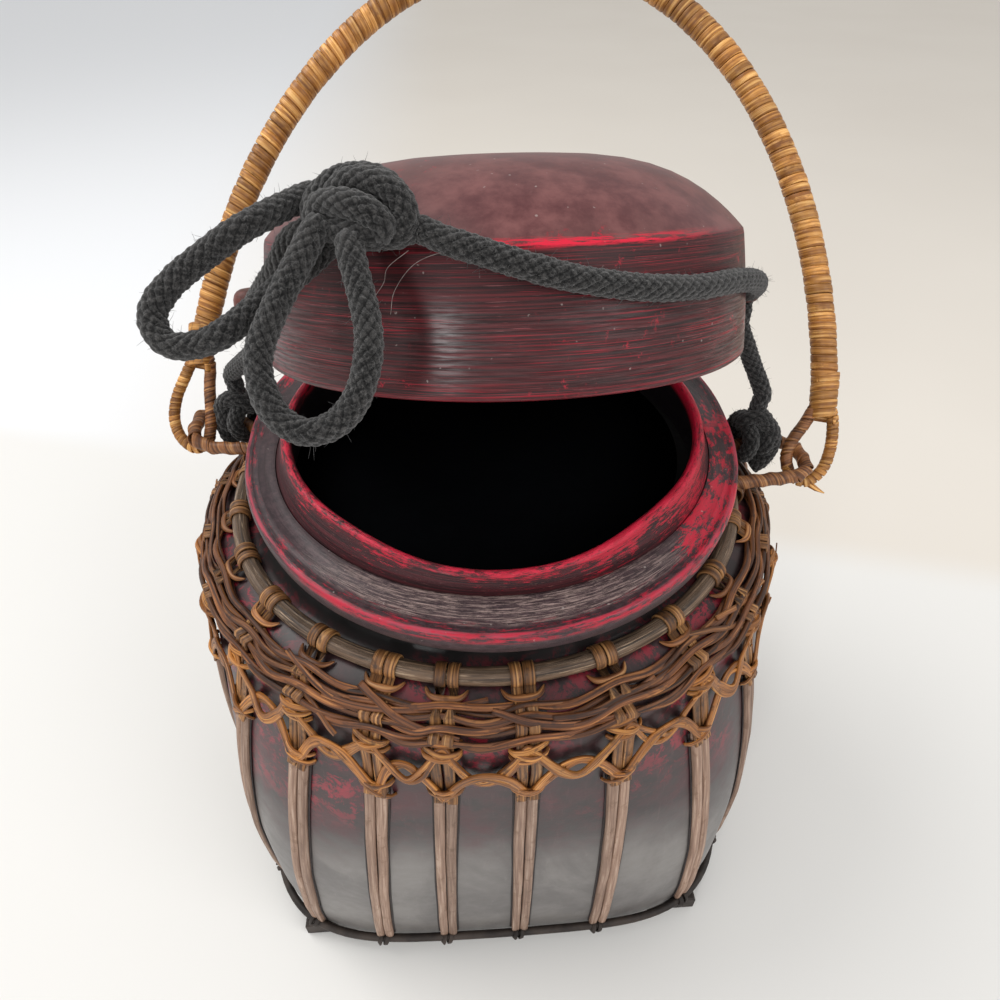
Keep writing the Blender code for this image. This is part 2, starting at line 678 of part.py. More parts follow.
def lug_height():
    return shoulder_hoop_height() + HOOP_RADIUS + GAP + LUG_RADIUS


def build_lug(name, plan, rise):
    route = [(x, y, lug_height() + share * rise) for (x, y), share in zip(plan, LUG_RISE_SHARES)]
    points = smooth_curve(route, 2)
    add_tube(name, points, LUG_RADIUS, 8, "cane", up=(0, 0, 1))


def lug_pin(plan, rise):
    """Middle of the stretch that the handle's eye hangs on."""
    first, second = plan[4], plan[5]
    return np.array(((first[0] + second[0]) / 2, (first[1] + second[1]) / 2, lug_height() + rise))


def round_lug(place):
    """A place on an eye's outline, moved off by the lug's radius."""
    u, v = place
    grow = 1.0 + LUG_RADIUS / math.hypot(u, v)
    return u * grow, v * grow


class HandlePlane:
    """The leaning plane of the bail: along the hinge line, and up from it."""

    def __init__(self):
        self.left, self.right = lug_pin(LUG_LEFT, LUG_RISE_LEFT), lug_pin(LUG_RIGHT, LUG_RISE_RIGHT)
        self.along = unit(self.right - self.left)
        back = unit(np.cross((0.0, 0.0, 1.0), self.along))
        upright = unit(np.cross(self.along, back))
        self.up = math.cos(HANDLE_LEAN) * upright + math.sin(HANDLE_LEAN) * back
        self.square = unit(np.cross(self.along, self.up))
        share = (HANDLE_MIDDLE_X - self.left[0]) / (self.right[0] - self.left[0])
        self.middle = self.left + share * (self.right - self.left)

    def point(self, along, up, start=None):
        base = self.middle if start is None else start
        return base + along * self.along + up * self.up

    def eye(self, outline, pin, sign):
        return np.array([self.point(sign * u, v, pin) for u, v in map(round_lug, outline)])

    def core(self, low_right, low_left, count):
        first = math.asin(low_right / HANDLE_HEIGHT)
        last = math.pi - math.asin(low_left / HANDLE_HEIGHT)
        turns = np.linspace(first, last, count)
        out = []
        for t in turns:
            rise = HANDLE_HEIGHT * math.sin(t)
            out.append(self.point(HANDLE_SPAN * math.cos(t) + HANDLE_SKEW * rise, rise))
        return np.array(out)


def even_points(points, count):
    """Equally spaced points along a path."""
    steps = np.linalg.norm(np.diff(points, axis=0), axis=1)
    length = np.concatenate(([0.0], np.cumsum(steps)))
    want = np.linspace(0.0, length[-1], count)
    return np.stack([np.interp(want, length, points[:, k]) for k in range(3)], axis=1), length[-1]


def build_handle():
    plane = HandlePlane()
    made = []
    for name, outline, pin, sign in (("handle_eye_right", EYE_RIGHT, plane.right, 1),
                                     ("handle_eye_left", EYE_LEFT, plane.left, -1)):
        points = smooth_curve(plane.eye(outline, pin, sign), 2, closed=True)
        made.append(add_tube(name, points, EYE_RADIUS, EYE_SIDES, "cane", closed=True, up=plane.square))
    seat = EYE_RADIUS + GAP + CORE_SLACK
    low_right, low_left = round_lug(EYE_RIGHT[0])[1] + seat, round_lug(EYE_LEFT[0])[1] + seat
    fine, _ = even_points(plane.core(low_right, low_left, 400), 400)
    core, length = even_points(fine, CORE_POINTS)
    made.append(add_tube("handle_core", core, CORE_RADIUS, EYE_SIDES, "cane", up=plane.square))
    made.append(build_wrap(plane, fine, length))
    return plane, made


def build_wrap(plane, path, length):
    """The winding as one unbroken tube round the core, with straight ends along it."""
    reach = CORE_RADIUS + GAP + WRAP_RADIUS + WRAP_SLACK
    margin = WRAP_MARGIN
    count = WRAP_TURNS * WRAP_POINTS + 1
    points = []
    for i in range(count):
        place = (margin + (length - 2 * margin) * i / (count - 1)) / length * (len(path) - 1)
        index = min(int(place), len(path) - 2)
        here = path[index] + (place - index) * (path[index + 1] - path[index])
        tangent = unit(path[index + 1] - path[index])
        inward = unit(np.cross(tangent, plane.square))
        turn = 2 * math.pi * i / WRAP_POINTS
        points.append(here + reach * (math.cos(turn) * inward + math.sin(turn) * plane.square))
    ends = unit(path[0] - path[1]), unit(path[-1] - path[-2])
    points.insert(0, points[0] + ends[0] * 2 * WRAP_RADIUS)
    points.append(points[-1] + ends[1] * 2 * WRAP_RADIUS)
    points = np.array(points)
    least = 1.0
    for i in range(len(points)):
        others = points[i + WRAP_POINTS // 2:]
        if len(others):
            least = min(least, float(np.linalg.norm(others - points[i], axis=1).min()))
    print(f"handle_wrap: least gap to itself {1000 * (least - 2 * WRAP_RADIUS):.2f} mm")
    return add_tube("handle_wrap", points, WRAP_RADIUS, WRAP_SIDES, "cane")


# Cords

def far_leg(plan, x):
    """Middle of the lug's far leg at a given x."""
    for first, second in zip(plan[5:], plan[6:]):
        if min(first[0], second[0]) <= x <= max(first[0], second[0]):
            share = (x - first[0]) / (second[0] - first[0])
            return first[1] + share * (second[1] - first[1])
    return plan[-1][1]


def build_knot(name, plan, x):
    """A bead of cord round the lug's far leg."""
    ends = [np.array((x + s * KNOT_LENGTH / 2, far_leg(plan, x + s * KNOT_LENGTH / 2), lug_height()))
            for s in (-1, 1)]
    axis = unit(ends[1] - ends[0])
    side = unit(np.cross((0.0, 0.0, 1.0), axis))
    up = np.cross(axis, side)
    middle = (ends[0] + ends[1]) / 2
    bore = KNOT_BORE + KNOT_SLACK
    lift = KNOT_LIFT * (up + KNOT_LEAN * side)
    rings = []
    for size, share, lifted in KNOT_ROWS:
        radius = size * KNOT_RADIUS if lifted else bore
        ring = []
        for j in range(KNOT_SIDES):
            angle = 2 * math.pi * (j + 0.5) / KNOT_SIDES
            ring.append(middle + axis * (share * KNOT_LENGTH) + lifted * lift
                        + radius * (math.cos(angle) * side + math.sin(angle) * up))
        rings.append(ring)
    add_mesh(name, rings, "cord", closed=True)
    return middle + lift


def lid_local(degrees, radius, height):
    angle = math.radians(degrees)
    return lid_place() @ Vector((radius * math.sin(angle), -radius * math.cos(angle), height))


def build_side_cord(name, sign, knot_middle):
    place = lid_place()
    ear = place @ Vector((sign * (LID_RADIUS + EAR_REACH) / 2, 0.0, EAR_LOW - GAP))
    down = place.to_3x3() @ Vector((0.0, 0.0, -1.0))
    end = Vector(knot_middle) + Vector((0.0, 0.0, KNOT_RADIUS + GAP + WRAP_SLACK))
    rise = Vector((0.0, 0.0, CORD_LEAD))
    leave, arrive = ear + down * CORD_LEAD, end + rise
    route = [ear, leave, leave + down * CORD_LEAD, leave.lerp(arrive, 0.5), arrive + rise, arrive, end]
    add_tube(name, smooth_curve([tuple(p) for p in route], 3), CORD_RADIUS, CORD_SIDES, "cord")


def wall_route(places):
    reach = CORD_RADIUS + GAP + CORD_SLACK
    points = []
    for degrees, height in places:
        points.append(tuple(lid_local(degrees, lid_wall_radius(height) + reach, height)))
    return points


def build_lid_cords():
    made = []
    place = lid_place()
    reach = CORD_RADIUS + GAP + CORD_SLACK
    height = (EAR_LOW + EAR_HIGH) / 2
    across, forward = lid_wall_radius(height) + reach, EAR_WIDTH / 2 + GAP + CORD_SLACK
    for name, sign, route in (("front_cord_right", 1, FRONT_CORD_RIGHT),
                              ("front_cord_left", -1, FRONT_CORD_LEFT)):
        start = place @ Vector((sign * across, -forward, height))
        lead = place.to_3x3() @ Vector((0.0, -CORD_LEAD, 0.0))
        points = [tuple(start), tuple(start + lead / 2), tuple(start + lead)] + wall_route(route)
        made.append(add_tube(name, smooth_curve(points, 2), CORD_RADIUS, CORD_SIDES, "cord"))
    knot = BowKnot()
    made.append(knot.build())
    for name, ends, route in (("bow_loop_left", BOW_ENDS_LEFT, BOW_LOOP_LEFT),
                              ("bow_loop_front", BOW_ENDS_FRONT, BOW_LOOP_FRONT)):
        first, last = knot.leave(ends[0]), knot.leave(ends[1])
        points = list(first) + [np.array(q) for q in route] + list(reversed(last))
        # each end runs straight out of the knot, and the rest is evenly divided
        middle, _ = even_points(smooth_curve(points, LOOP_STEPS)[LOOP_STEPS:-LOOP_STEPS], LOOP_POINTS)
        line = np.vstack((first[0], middle, last[0]))
        made.append(add_tube(name, line, CORD_RADIUS, CORD_SIDES, "cord"))
    return made


class BowKnot:
    """A rounded lump of wrapped cord on the lid's top edge."""

    def __init__(self):
        radius, height = BOW_KNOT_PLACE
        self.centre = np.array(lid_local(BOW_KNOT_DEGREES, radius, height))
        left = np.array(lid_local(BOW_KNOT_DEGREES - 90.0, radius, height))
        right = np.array(lid_local(BOW_KNOT_DEGREES + 90.0, radius, height))
        self.along = unit(right - left)
        self.up = np.array(lid_place().to_3x3() @ Vector((0.0, 0.0, 1.0)))
        self.out = unit(np.cross(self.along, self.up))

    def build(self):
        long, deep, tall = BOW_KNOT_SIZE
        rings = []
        for degrees in BOW_KNOT_ROWS:
            turn = math.radians(degrees)
            share, size = math.sin(turn), math.cos(turn)
            ring = []
            for j in range(BOW_KNOT_SIDES):
                angle = 2 * math.pi * j / BOW_KNOT_SIDES
                ring.append(self.centre + self.along * (share * long)
                            + size * (deep * math.cos(angle) * self.out + tall * math.sin(angle) * self.up))
            rings.append(ring)
        return add_mesh("bow_knot", rings, "cord")

    def leave(self, direction):
        """Where a loop meets the knot, square to its surface, and a point straight out from there."""
        sizes = np.array(BOW_KNOT_SIZE)
        way = unit(np.array(direction))
        surface = way / np.linalg.norm(way / sizes)
        square = unit(surface / sizes ** 2)
        place = surface + square * GAP
        frame = np.array((self.along, self.out, self.up))
        start = self.centre + place @ frame
        lead = square @ frame * CORD_LEAD
        return start, start + lead / 2, start + lead


def carry(name, point, pieces):
    """Parent pieces to an empty on their joint's axis, without moving them."""
    empty = bpy.data.objects.new(name, None)
    empty.location = point
    bpy.context.scene.collection.objects.link(empty)
    bpy.context.view_layer.update()
    for piece in pieces:
        piece.parent = empty
        piece.matrix_parent_inverse = empty.matrix_world.inverted()


def main():
    clear_scene()
    build_board()
    build_body()
    hoop_top = build_base_hoop()
    build_shoulder_hoop()
    build_ribs(hoop_top + GAP)
    build_rows()
    build_flange()
    build_collar()
    lid = build_lid()
    build_lug("lug_right", LUG_RIGHT, LUG_RISE_RIGHT)
    build_lug("lug_left", LUG_LEFT, LUG_RISE_LEFT)
    plane, handle = build_handle()
    for name, cord, sign, plan, x in (("knot_right", "side_cord_right", 1, LUG_RIGHT, KNOT_RIGHT_X),
                                      ("knot_left", "side_cord_left", -1, LUG_LEFT, KNOT_LEFT_X)):
        middle = build_knot(name, plan, x)
        build_side_cord(cord, sign, middle)
    lid += build_lid_cords()
    point, axis, angle = lid_hinge()
    carry("lid_hinge", point, lid)
    carry("handle_hinge", (plane.left + plane.right) / 2, handle)
    print("lid hinge", np.round(point, 5), "axis", np.round(axis, 5), "open", round(math.degrees(angle), 3))
    print("handle hinge", np.round((plane.left + plane.right) / 2, 5), "axis", np.round(plane.along, 5))


main()
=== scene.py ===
"""Looks of the sticky rice basket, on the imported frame.  Metres, row frame, rest pose."""

import math

import bpy
import numpy as np
from mathutils import Matrix, Vector


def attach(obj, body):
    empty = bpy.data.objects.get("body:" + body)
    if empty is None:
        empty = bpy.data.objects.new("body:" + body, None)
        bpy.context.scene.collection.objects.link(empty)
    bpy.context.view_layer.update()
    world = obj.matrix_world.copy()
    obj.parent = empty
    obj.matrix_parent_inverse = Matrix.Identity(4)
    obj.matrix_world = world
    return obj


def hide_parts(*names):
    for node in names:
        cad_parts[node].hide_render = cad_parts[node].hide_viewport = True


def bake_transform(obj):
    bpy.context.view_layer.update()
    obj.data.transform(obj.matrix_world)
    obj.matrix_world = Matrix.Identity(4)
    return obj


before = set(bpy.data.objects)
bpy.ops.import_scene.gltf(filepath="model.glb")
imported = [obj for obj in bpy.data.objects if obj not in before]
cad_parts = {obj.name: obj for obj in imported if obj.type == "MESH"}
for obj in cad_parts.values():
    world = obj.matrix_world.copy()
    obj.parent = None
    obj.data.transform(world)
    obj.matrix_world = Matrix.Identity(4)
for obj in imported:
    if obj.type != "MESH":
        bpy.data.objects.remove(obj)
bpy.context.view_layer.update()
rng = np.random.default_rng(7)

# Sizes repeated from the model
GAP = 0.0003
BODY_BASE = 0.0093
# height over the base, half width, half depth, squareness and middle in y
BODY_OUTLINE = np.array((
    (0.0000, 0.0990, 0.0950, 4.2, 0.0060), (0.0220, 0.1005, 0.0965, 4.1, 0.0055),
    (0.0610, 0.1010, 0.0980, 3.7, 0.0045), (0.1010, 0.1000, 0.0985, 3.0, 0.0030),
    (0.1400, 0.0985, 0.0980, 2.3, 0.0012), (0.1540, 0.0984, 0.0984, 2.0, 0.0),
    (0.1627, 0.0978, 0.0978, 2.0, 0.0), (0.1687, 0.0925, 0.0925, 2.0, 0.0),
    (0.1717, 0.0860, 0.0860, 2.0, 0.0), (0.1731, 0.0790, 0.0790, 2.0, 0.0),
    (0.1780, 0.0752, 0.0752, 2.0, 0.0), (0.1898, 0.0745, 0.0745, 2.0, 0.0),
))
LAST_ROW = len(BODY_OUTLINE) - 1
NECK_BORE = 0.0640
HOOP_RING, HOOP_RADIUS, HOOP_Z = 0.0838, 0.0026, 0.1844
# degrees round from the front, at the top and at the foot
FRONT_RIBS = ((-50.3, -56.0), (-35.4, -42.0), (-21.2, -27.5), (-9.7, -13.5), (3.8, 4.0), (19.5, 22.5),
              (35.6, 41.5), (52.0, 56.5), (69.5, 68.5))
RIB_COUNT, RIB_TOP = 24, 0.1490
CORD_RADIUS = 0.0030
FLANGE_LOW, FLANGE_TOP, FLANGE_RADIUS, FLANGE_BORE = 0.1994, 0.2073, 0.0840, 0.0690
NECK_CENTRE, FLANGE_CENTRE = (0.0022, -0.0060), (0.0020, -0.0025)
CORNER = 0.0024
COLLAR_RADIUS, COLLAR_TAPER, COLLAR_WALL, COLLAR_HEIGHT, COLLAR_DIP = 0.0678, 0.0027, 0.0030, 0.0095, 0.0030
LID_RADIUS, LID_TOP_RADIUS, LID_WALL = 0.0734, 0.0700, 0.0024
LID_RIM = LID_RADIUS - 0.0007
LID_WALL_HEIGHT, LID_DOME_HEIGHT, LID_DOME_POWER = 0.0333, 0.0208, 3.7
LID_REST_CENTRE = (0.0076, 0.0119, 0.2305)
LID_TILT = math.asin((LID_REST_CENTRE[2] - FLANGE_TOP - GAP) / LID_RIM)
LID_TURN = math.radians(2.0)
EAR_REACH, EAR_LOW, EAR_HIGH, EAR_WIDTH = 0.0830, 0.0095, 0.0190, 0.0130
LUG_Z = 0.1895
LUG_RISE_SHARES = (0, 0, 0, 0.7, 1, 1, 0.7, 0, 0, 0)
LUG_RIGHT = ((0.0800, -0.0162), (0.0900, -0.0155), (0.1035, -0.0140), (0.1082, -0.0118), (0.1099, -0.0085),
             (0.1099, -0.0005), (0.1082, 0.0030), (0.1035, 0.0050), (0.0900, 0.0045), (0.0815, 0.0028))
LUG_LEFT = ((-0.0826, 0.0140), (-0.0895, 0.0149), (-0.0975, 0.0163), (-0.1028, 0.0182), (-0.1045, 0.0220),
            (-0.1045, 0.0300), (-0.1028, 0.0340), (-0.0975, 0.0352), (-0.0900, 0.0310), (-0.0805, 0.0232))
LUG_RISE_RIGHT, LUG_RISE_LEFT = 0.0006, 0.0026
HANDLE_SPAN, HANDLE_HEIGHT, HANDLE_SKEW, HANDLE_MIDDLE_X = 0.1118, 0.1632, 0.027, 0.0055
HANDLE_LEAN = math.radians(36.0)

TAU = 2 * math.pi
UP = np.array((0.0, 0.0, 1.0))


# Curves

def unit(v):
    v = np.asarray(v, float)
    return v / np.linalg.norm(v, axis=-1, keepdims=True)


def steps_round(count):
    return np.linspace(0, TAU, count + 1)[:-1]


def tangents(points, closed=False):
    if closed:
        return unit(np.roll(points, -1, 0) - np.roll(points, 1, 0))
    return unit(np.gradient(points, axis=0))


def arc(points):
    """The distance along a path, at each of its points."""
    return np.concatenate(([0.0], np.cumsum(np.linalg.norm(np.diff(points, axis=0), axis=1))))


def spline(a, b, c, d, t):
    """The place a share t of the way from b to c, on a curve through all four."""
    return 0.5 * (2 * b + (c - a) * t + (2 * a - 5 * b + 4 * c - d) * t * t
                  + (3 * b - 3 * c + d - a) * t ** 3)


def smooth_curve(points, per_span, closed=False):
    p = [np.array(q, float) for q in points]
    p = [p[-1], *p, p[0], p[1]] if closed else [2 * p[0] - p[1], *p, 2 * p[-1] - p[-2]]
    out = [spline(*p[i:i + 4], step / per_span) for i in range(len(p) - 3) for step in range(per_span)]
    return np.array(out if closed else out + [p[-2]])


def sample(where, lengths, values):
    """Values along a path, read off at other lengths."""
    return np.stack([np.interp(where, lengths, values[:, k]) for k in range(3)], axis=1)


def resample(points, step):
    lengths = arc(points)
    want = np.linspace(0.0, lengths[-1], max(4, int(round(lengths[-1] / step)) + 1))
    return sample(want, lengths, points)


def wobble(count, size, waves, seed):
    """A slow random wave along a strand."""
    r = np.random.default_rng(seed)
    t = np.linspace(0, 1, count)
    out = np.zeros(count)
    for k in range(1, waves + 1):
        out += r.normal() / k * np.sin(TAU * k * t + r.uniform(0, 6.28))
    return size * out


def carried(points, closed=False):
    """Directions square to a path that turn with it as little as they can."""
    tangent = tangents(points, closed)
    trial = UP if abs(tangent[0][2]) < 0.8 else np.array((1.0, 0.0, 0.0))
    normal = np.cross(trial, tangent[0])
    out = []
    for t in tangent:
        normal = unit(normal - np.dot(normal, t) * t)
        out.append(normal)
    out = np.array(out)
    if closed:
        last = out[-1] - np.dot(out[-1], tangent[0]) * tangent[0]
        miss = math.atan2(np.dot(np.cross(last, out[0]), tangent[0]), np.dot(last, out[0]))
        turn = miss * np.arange(len(out)) / len(out)
        out = np.cos(turn)[:, None] * out + np.sin(turn)[:, None] * np.cross(tangent, out)
    return out


def part_turn(out, first, last, count):
    """The angles of a part of a turn given in degrees, and its directions, from out towards up."""
    turns = np.radians(np.linspace(first, last, count))
    return turns, np.cos(turns)[:, None] * out + np.sin(turns)[:, None] * UP


def circle(sides):
    turn = steps_round(sides)
    return np.stack((np.cos(turn), np.sin(turn)), 1)


# Profiles are (side, out) pairs, anticlockwise seen from the front of the path
SPLIT_PROFILE = np.array([(1.0, -0.15), *((math.cos(a), 0.32 + 0.68 * math.sin(a) ** 0.6)
                                          for a in np.linspace(0, math.pi, 9)), (-1.0, -0.15)])
FLAT_PROFILE = np.array(((0.5, 0.0), (0.5, 0.6), (0.42, 0.92), (0.25, 1.0), (0.0, 1.02), (-0.25, 1.0),
                         (-0.42, 0.92), (-0.5, 0.6), (-0.5, 0.0)))
ROUND_PROFILE = 0.5 * circle(10)


class Soup:
    """Many swept strands in one mesh, with their own flow coordinates: along, across and tone."""

    def __init__(self):
        self.verts, self.faces, self.flow, self.ends = [], [], [], []
        self.count = 0

    def rings(self, rings, along, across, tone=0.5, closed=False, caps=True, flip=False):
        """Joined rings. The flow values are single, or shaped for the rings or for the places in a ring."""
        rings = np.asarray(rings, float)
        n, m = rings.shape[:2]
        flow = np.empty((n, m, 3))
        flow[..., 0] = along
        flow[..., 1] = across
        flow[..., 2] = tone
        index = self.count + np.arange(n * m).reshape(n, m)
        a = index if closed else index[:-1]
        b = np.roll(index, -1, 0) if closed else index[1:]
        c, d = np.roll(b, -1, 1), np.roll(a, -1, 1)
        quads = np.stack((a, d, c, b), -1).reshape(-1, 4)
        self.verts.append(rings.reshape(-1, 3))
        self.flow.append(flow.reshape(-1, 3))
        self.faces.append(quads[:, ::-1] if flip else quads)
        if caps and not closed:
            step = 1 if flip else -1
            self.ends += [index[0][::step].tolist(), index[-1][::-step].tolist()]
        self.count += n * m

    def sweep(self, points, outs, profile, tone=0.5, closed=False, scale=(1.0, 1.0)):
        tangent = tangents(points, closed)
        side = unit(np.cross(tangent, outs))
        up = np.cross(side, tangent)
        scale = np.stack([np.broadcast_to(s, len(points)) for s in scale], 1)
        u, v = (profile[None, :, k] * scale[:, k:k + 1] for k in (0, 1))
        rings = points[:, None] + u[..., None] * side[:, None] + v[..., None] * up[:, None]
        along = arc(points) + rng.uniform(0, 10)
        self.rings(rings, along[:, None], arc(profile * scale.mean(axis=0)), tone, closed)

    def tube(self, points, radius, sides=10, tone=0.5, closed=False):
        points = np.asarray(points, float)
        self.sweep(points, carried(points, closed), circle(sides), tone, closed, (radius, radius))

    def make(self, name, material, body, nodes=(), slot=None):
        """A mesh that rides a body, or stays loose where the body is None."""
        mesh = bpy.data.meshes.new(name)
        verts = np.concatenate(self.verts)
        quads = np.concatenate(self.faces)
        sizes = np.concatenate((np.full(len(quads), 4), [len(e) for e in self.ends])).astype(int)
        loops = np.concatenate([quads.reshape(-1)] + [np.array(e) for e in self.ends]).astype(int)
        mesh.vertices.add(len(verts))
        mesh.vertices.foreach_set("co", verts.astype(np.float32).reshape(-1))
        mesh.loops.add(len(loops))
        mesh.loops.foreach_set("vertex_index", loops)
        mesh.polygons.add(len(sizes))
        mesh.polygons.foreach_set("loop_start", np.concatenate(([0], np.cumsum(sizes)[:-1])).astype(int))
        mesh.polygons.foreach_set("loop_total", sizes)
        mesh.polygons.foreach_set("use_smooth", np.ones(len(sizes), bool))
        mesh.update(calc_edges=True)
        mesh.validate()
        flow = mesh.attributes.new("flow", "FLOAT_VECTOR", "POINT")
        flow.data.foreach_set("vector", np.concatenate(self.flow).astype(np.float32).reshape(-1))
        mesh.materials.append(material)
        obj = bpy.data.objects.new(name, mesh)
        bpy.context.scene.collection.objects.link(obj)
        if nodes:
            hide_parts(*nodes)
        if body:
            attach(obj, body)
        return obj


# Materials

class Paint:
    """A material graph with short names for what the recipes use. Its colour is built up in layers."""

    def __init__(self, name):
        self.mat = bpy.data.materials.new(name)
        self.mat.use_nodes = True
        self.tree = self.mat.node_tree
        self.shader = self.tree.nodes["Principled BSDF"]
        self.coords = self.node("TexCoord").outputs["Object"]
        self.x, self.y, self.z = self.node("SeparateXYZ", {0: self.coords}).outputs
        flow = self.node("Attribute", attribute_name="flow").outputs["Vector"]
        self.along, self.across, self.tone = self.node("SeparateXYZ", {0: flow}).outputs
        self.colour = None

    def node(self, kind, inputs=None, **settings):
        node = self.tree.nodes.new("ShaderNode" + kind)
        for name, value in settings.items():
            setattr(node, name, value)
        self.fill(node, inputs or {})
        return node

    def fill(self, node, inputs):
        for name, value in inputs.items():
            socket = node.inputs[name]
            if isinstance(value, bpy.types.NodeSocket):
                self.tree.links.new(value, socket)
            elif isinstance(value, tuple) and socket.type == "RGBA":
                socket.default_value = (*value, 1.0)
            else:
                socket.default_value = value

    def math(self, operation, first, *others):
        """One operation, carried on over all the values."""
        for other in others:
            first = self.node("Math", {0: first, 1: other}, operation=operation).outputs[0]
        return first

    def add(self, *values):
        return self.math("ADD", *values)

    def times(self, *values):
        return self.math("MULTIPLY", *values)

    def swing(self, value, size):
        """A noise, moved to swing either side of nothing."""
        return self.times(self.math("SUBTRACT", value, 0.5), size)

    def vector(self, x, y, z=0.0):
        return self.node("CombineXYZ", {0: x, 1: y, 2: z}).outputs[0]

    def noise(self, where, scale=1.0, detail=3.0, rough=0.55, warp=0.0):
        values = {"Vector": where, "Scale": scale, "Detail": detail, "Roughness": rough, "Distortion": warp}
        return self.node("TexNoise", values).outputs["Fac"]

    def grain(self, along, across, detail, rough=0.55, warp=0.0, by_tone=0.0):
        """Noise in the strand's own coordinates, stretched, and moved from strand to strand."""
        place = self.vector(self.times(self.along, along), self.times(self.across, across),
                            self.times(self.tone, by_tone))
        return self.noise(place, 1.0, detail, rough, warp)

    def span(self, value, low, high):
        """0 at low and 1 at high, with a soft step between them."""
        ends = (low, high, 0.0, 1.0) if low <= high else (high, low, 1.0, 0.0)
        inputs = dict(zip(("From Min", "From Max", "To Min", "To Max"), ends), Value=value)
        return self.node("MapRange", inputs, interpolation_type="SMOOTHSTEP", clamp=True).outputs["Result"]

    def near(self, value, place, far, close):
        """1 near a place, 0 farther off."""
        return self.span(self.math("ABSOLUTE", self.math("SUBTRACT", value, place), 0.0), far, close)

    def mix(self, share, a, b, blend="MIX"):
        return self.node("Mix", data_type="RGBA", blend_type=blend, inputs={0: share, 6: a, 7: b}).outputs[2]

    def layer(self, tone, *masks):
        """Lays a tone over the colour so far, where all the masks let it."""
        self.colour = self.mix(self.times(*masks), self.colour, tone)

    def dust(self, share=0.5):
        spot = self.node("TexVoronoi", {"Vector": self.coords, "Scale": 330.0, "Randomness": 1.0})
        few = self.span(self.noise(self.coords, 800.0, 1.0), 0.56, 0.62)
        self.layer((0.40, 0.34, 0.32), self.span(spot.outputs["Distance"], 0.15, 0.07), few, share)

    def finish(self, rough, height=None, depth=0.0, strength=0.0, specular=0.5, coat=0.0, coat_rough=0.2,
               sheen=0.0):
        inputs = {"Base Color": self.colour, "Roughness": rough, "Specular IOR Level": specular,
                  "Coat Weight": coat, "Coat Roughness": coat_rough, "Sheen Weight": sheen}
        if height is not None:
            bump = self.node("Bump", {"Strength": strength, "Distance": depth, "Height": height})
            inputs["Normal"] = bump.outputs["Normal"]
        self.fill(self.shader, inputs)
        return self.mat


def body_paint():
    p = Paint("body_lacquer")
    fine = p.noise(p.coords, 170.0, 4.0, 0.65)
    level = p.add(p.z, p.swing(p.noise(p.coords, 20.0, 3.0, 0.6, 0.5), 0.036))
    cloud = p.noise(p.vector(p.times(p.across, 30.0), p.times(p.z, 14.0)), 1.0, 5.0, 0.62, 0.7)
    scuff = p.noise(p.vector(p.times(p.across, 420.0), p.times(p.z, 60.0)), 1.0, 4.0, 0.7, 0.4)
    # grey below, a painted reflection of the pale floor in the dark lacquer; dark red-brown above
    pale = p.mix(p.span(cloud, 0.38, 0.64), (0.106, 0.096, 0.093), (0.180, 0.167, 0.158))
    pale = p.mix(p.times(p.span(scuff, 0.58, 0.72), 0.30), pale, (0.24, 0.225, 0.215))
    dark = p.mix(p.span(fine, 0.35, 0.68), (0.013, 0.006, 0.007), (0.046, 0.017, 0.020))
    dark = p.mix(p.times(p.span(scuff, 0.54, 0.70), 0.35), dark, (0.085, 0.040, 0.042))
    p.colour = p.mix(p.span(level, 0.121, 0.080), dark, pale)
    patch = p.span(p.noise(p.coords, 120.0, 7.0, 0.80, 0.4), 0.49, 0.57)
    zone = p.span(p.noise(p.coords, 19.0, 2.0), 0.40, 0.58)
    p.layer((0.320, 0.006, 0.026), patch, zone, p.span(level, 0.112, 0.140), 0.85)
    blush = p.span(p.noise(p.coords, 36.0, 4.0, 0.6), 0.46, 0.66)
    p.layer((0.070, 0.009, 0.015), blush, p.span(p.z, 0.094, 0.118), p.span(p.z, 0.162, 0.142), 0.65)
    # near black on the neck under the flange: painted shade
    neck = p.span(p.z, 0.1805, 0.1850)
    p.layer((0.004, 0.003, 0.003), neck)
    rough = p.add(0.30, p.times(fine, 0.24), p.times(neck, 0.5))
    return p.finish(rough, p.add(fine, p.times(cloud, 1.5)), 0.00022, 0.35, 0.42, 0.14, 0.24)


def inside_paint():
    # near black all over: painted shade for the dark inside of the basket
    p = Paint("inside_black")
    fine = p.noise(p.coords, 120.0)
    p.colour = p.mix(fine, (0.0006, 0.0008, 0.0012), (0.0016, 0.0019, 0.0026))
    return p.finish(0.9, fine, 0.0002, 0.3, 0.03)


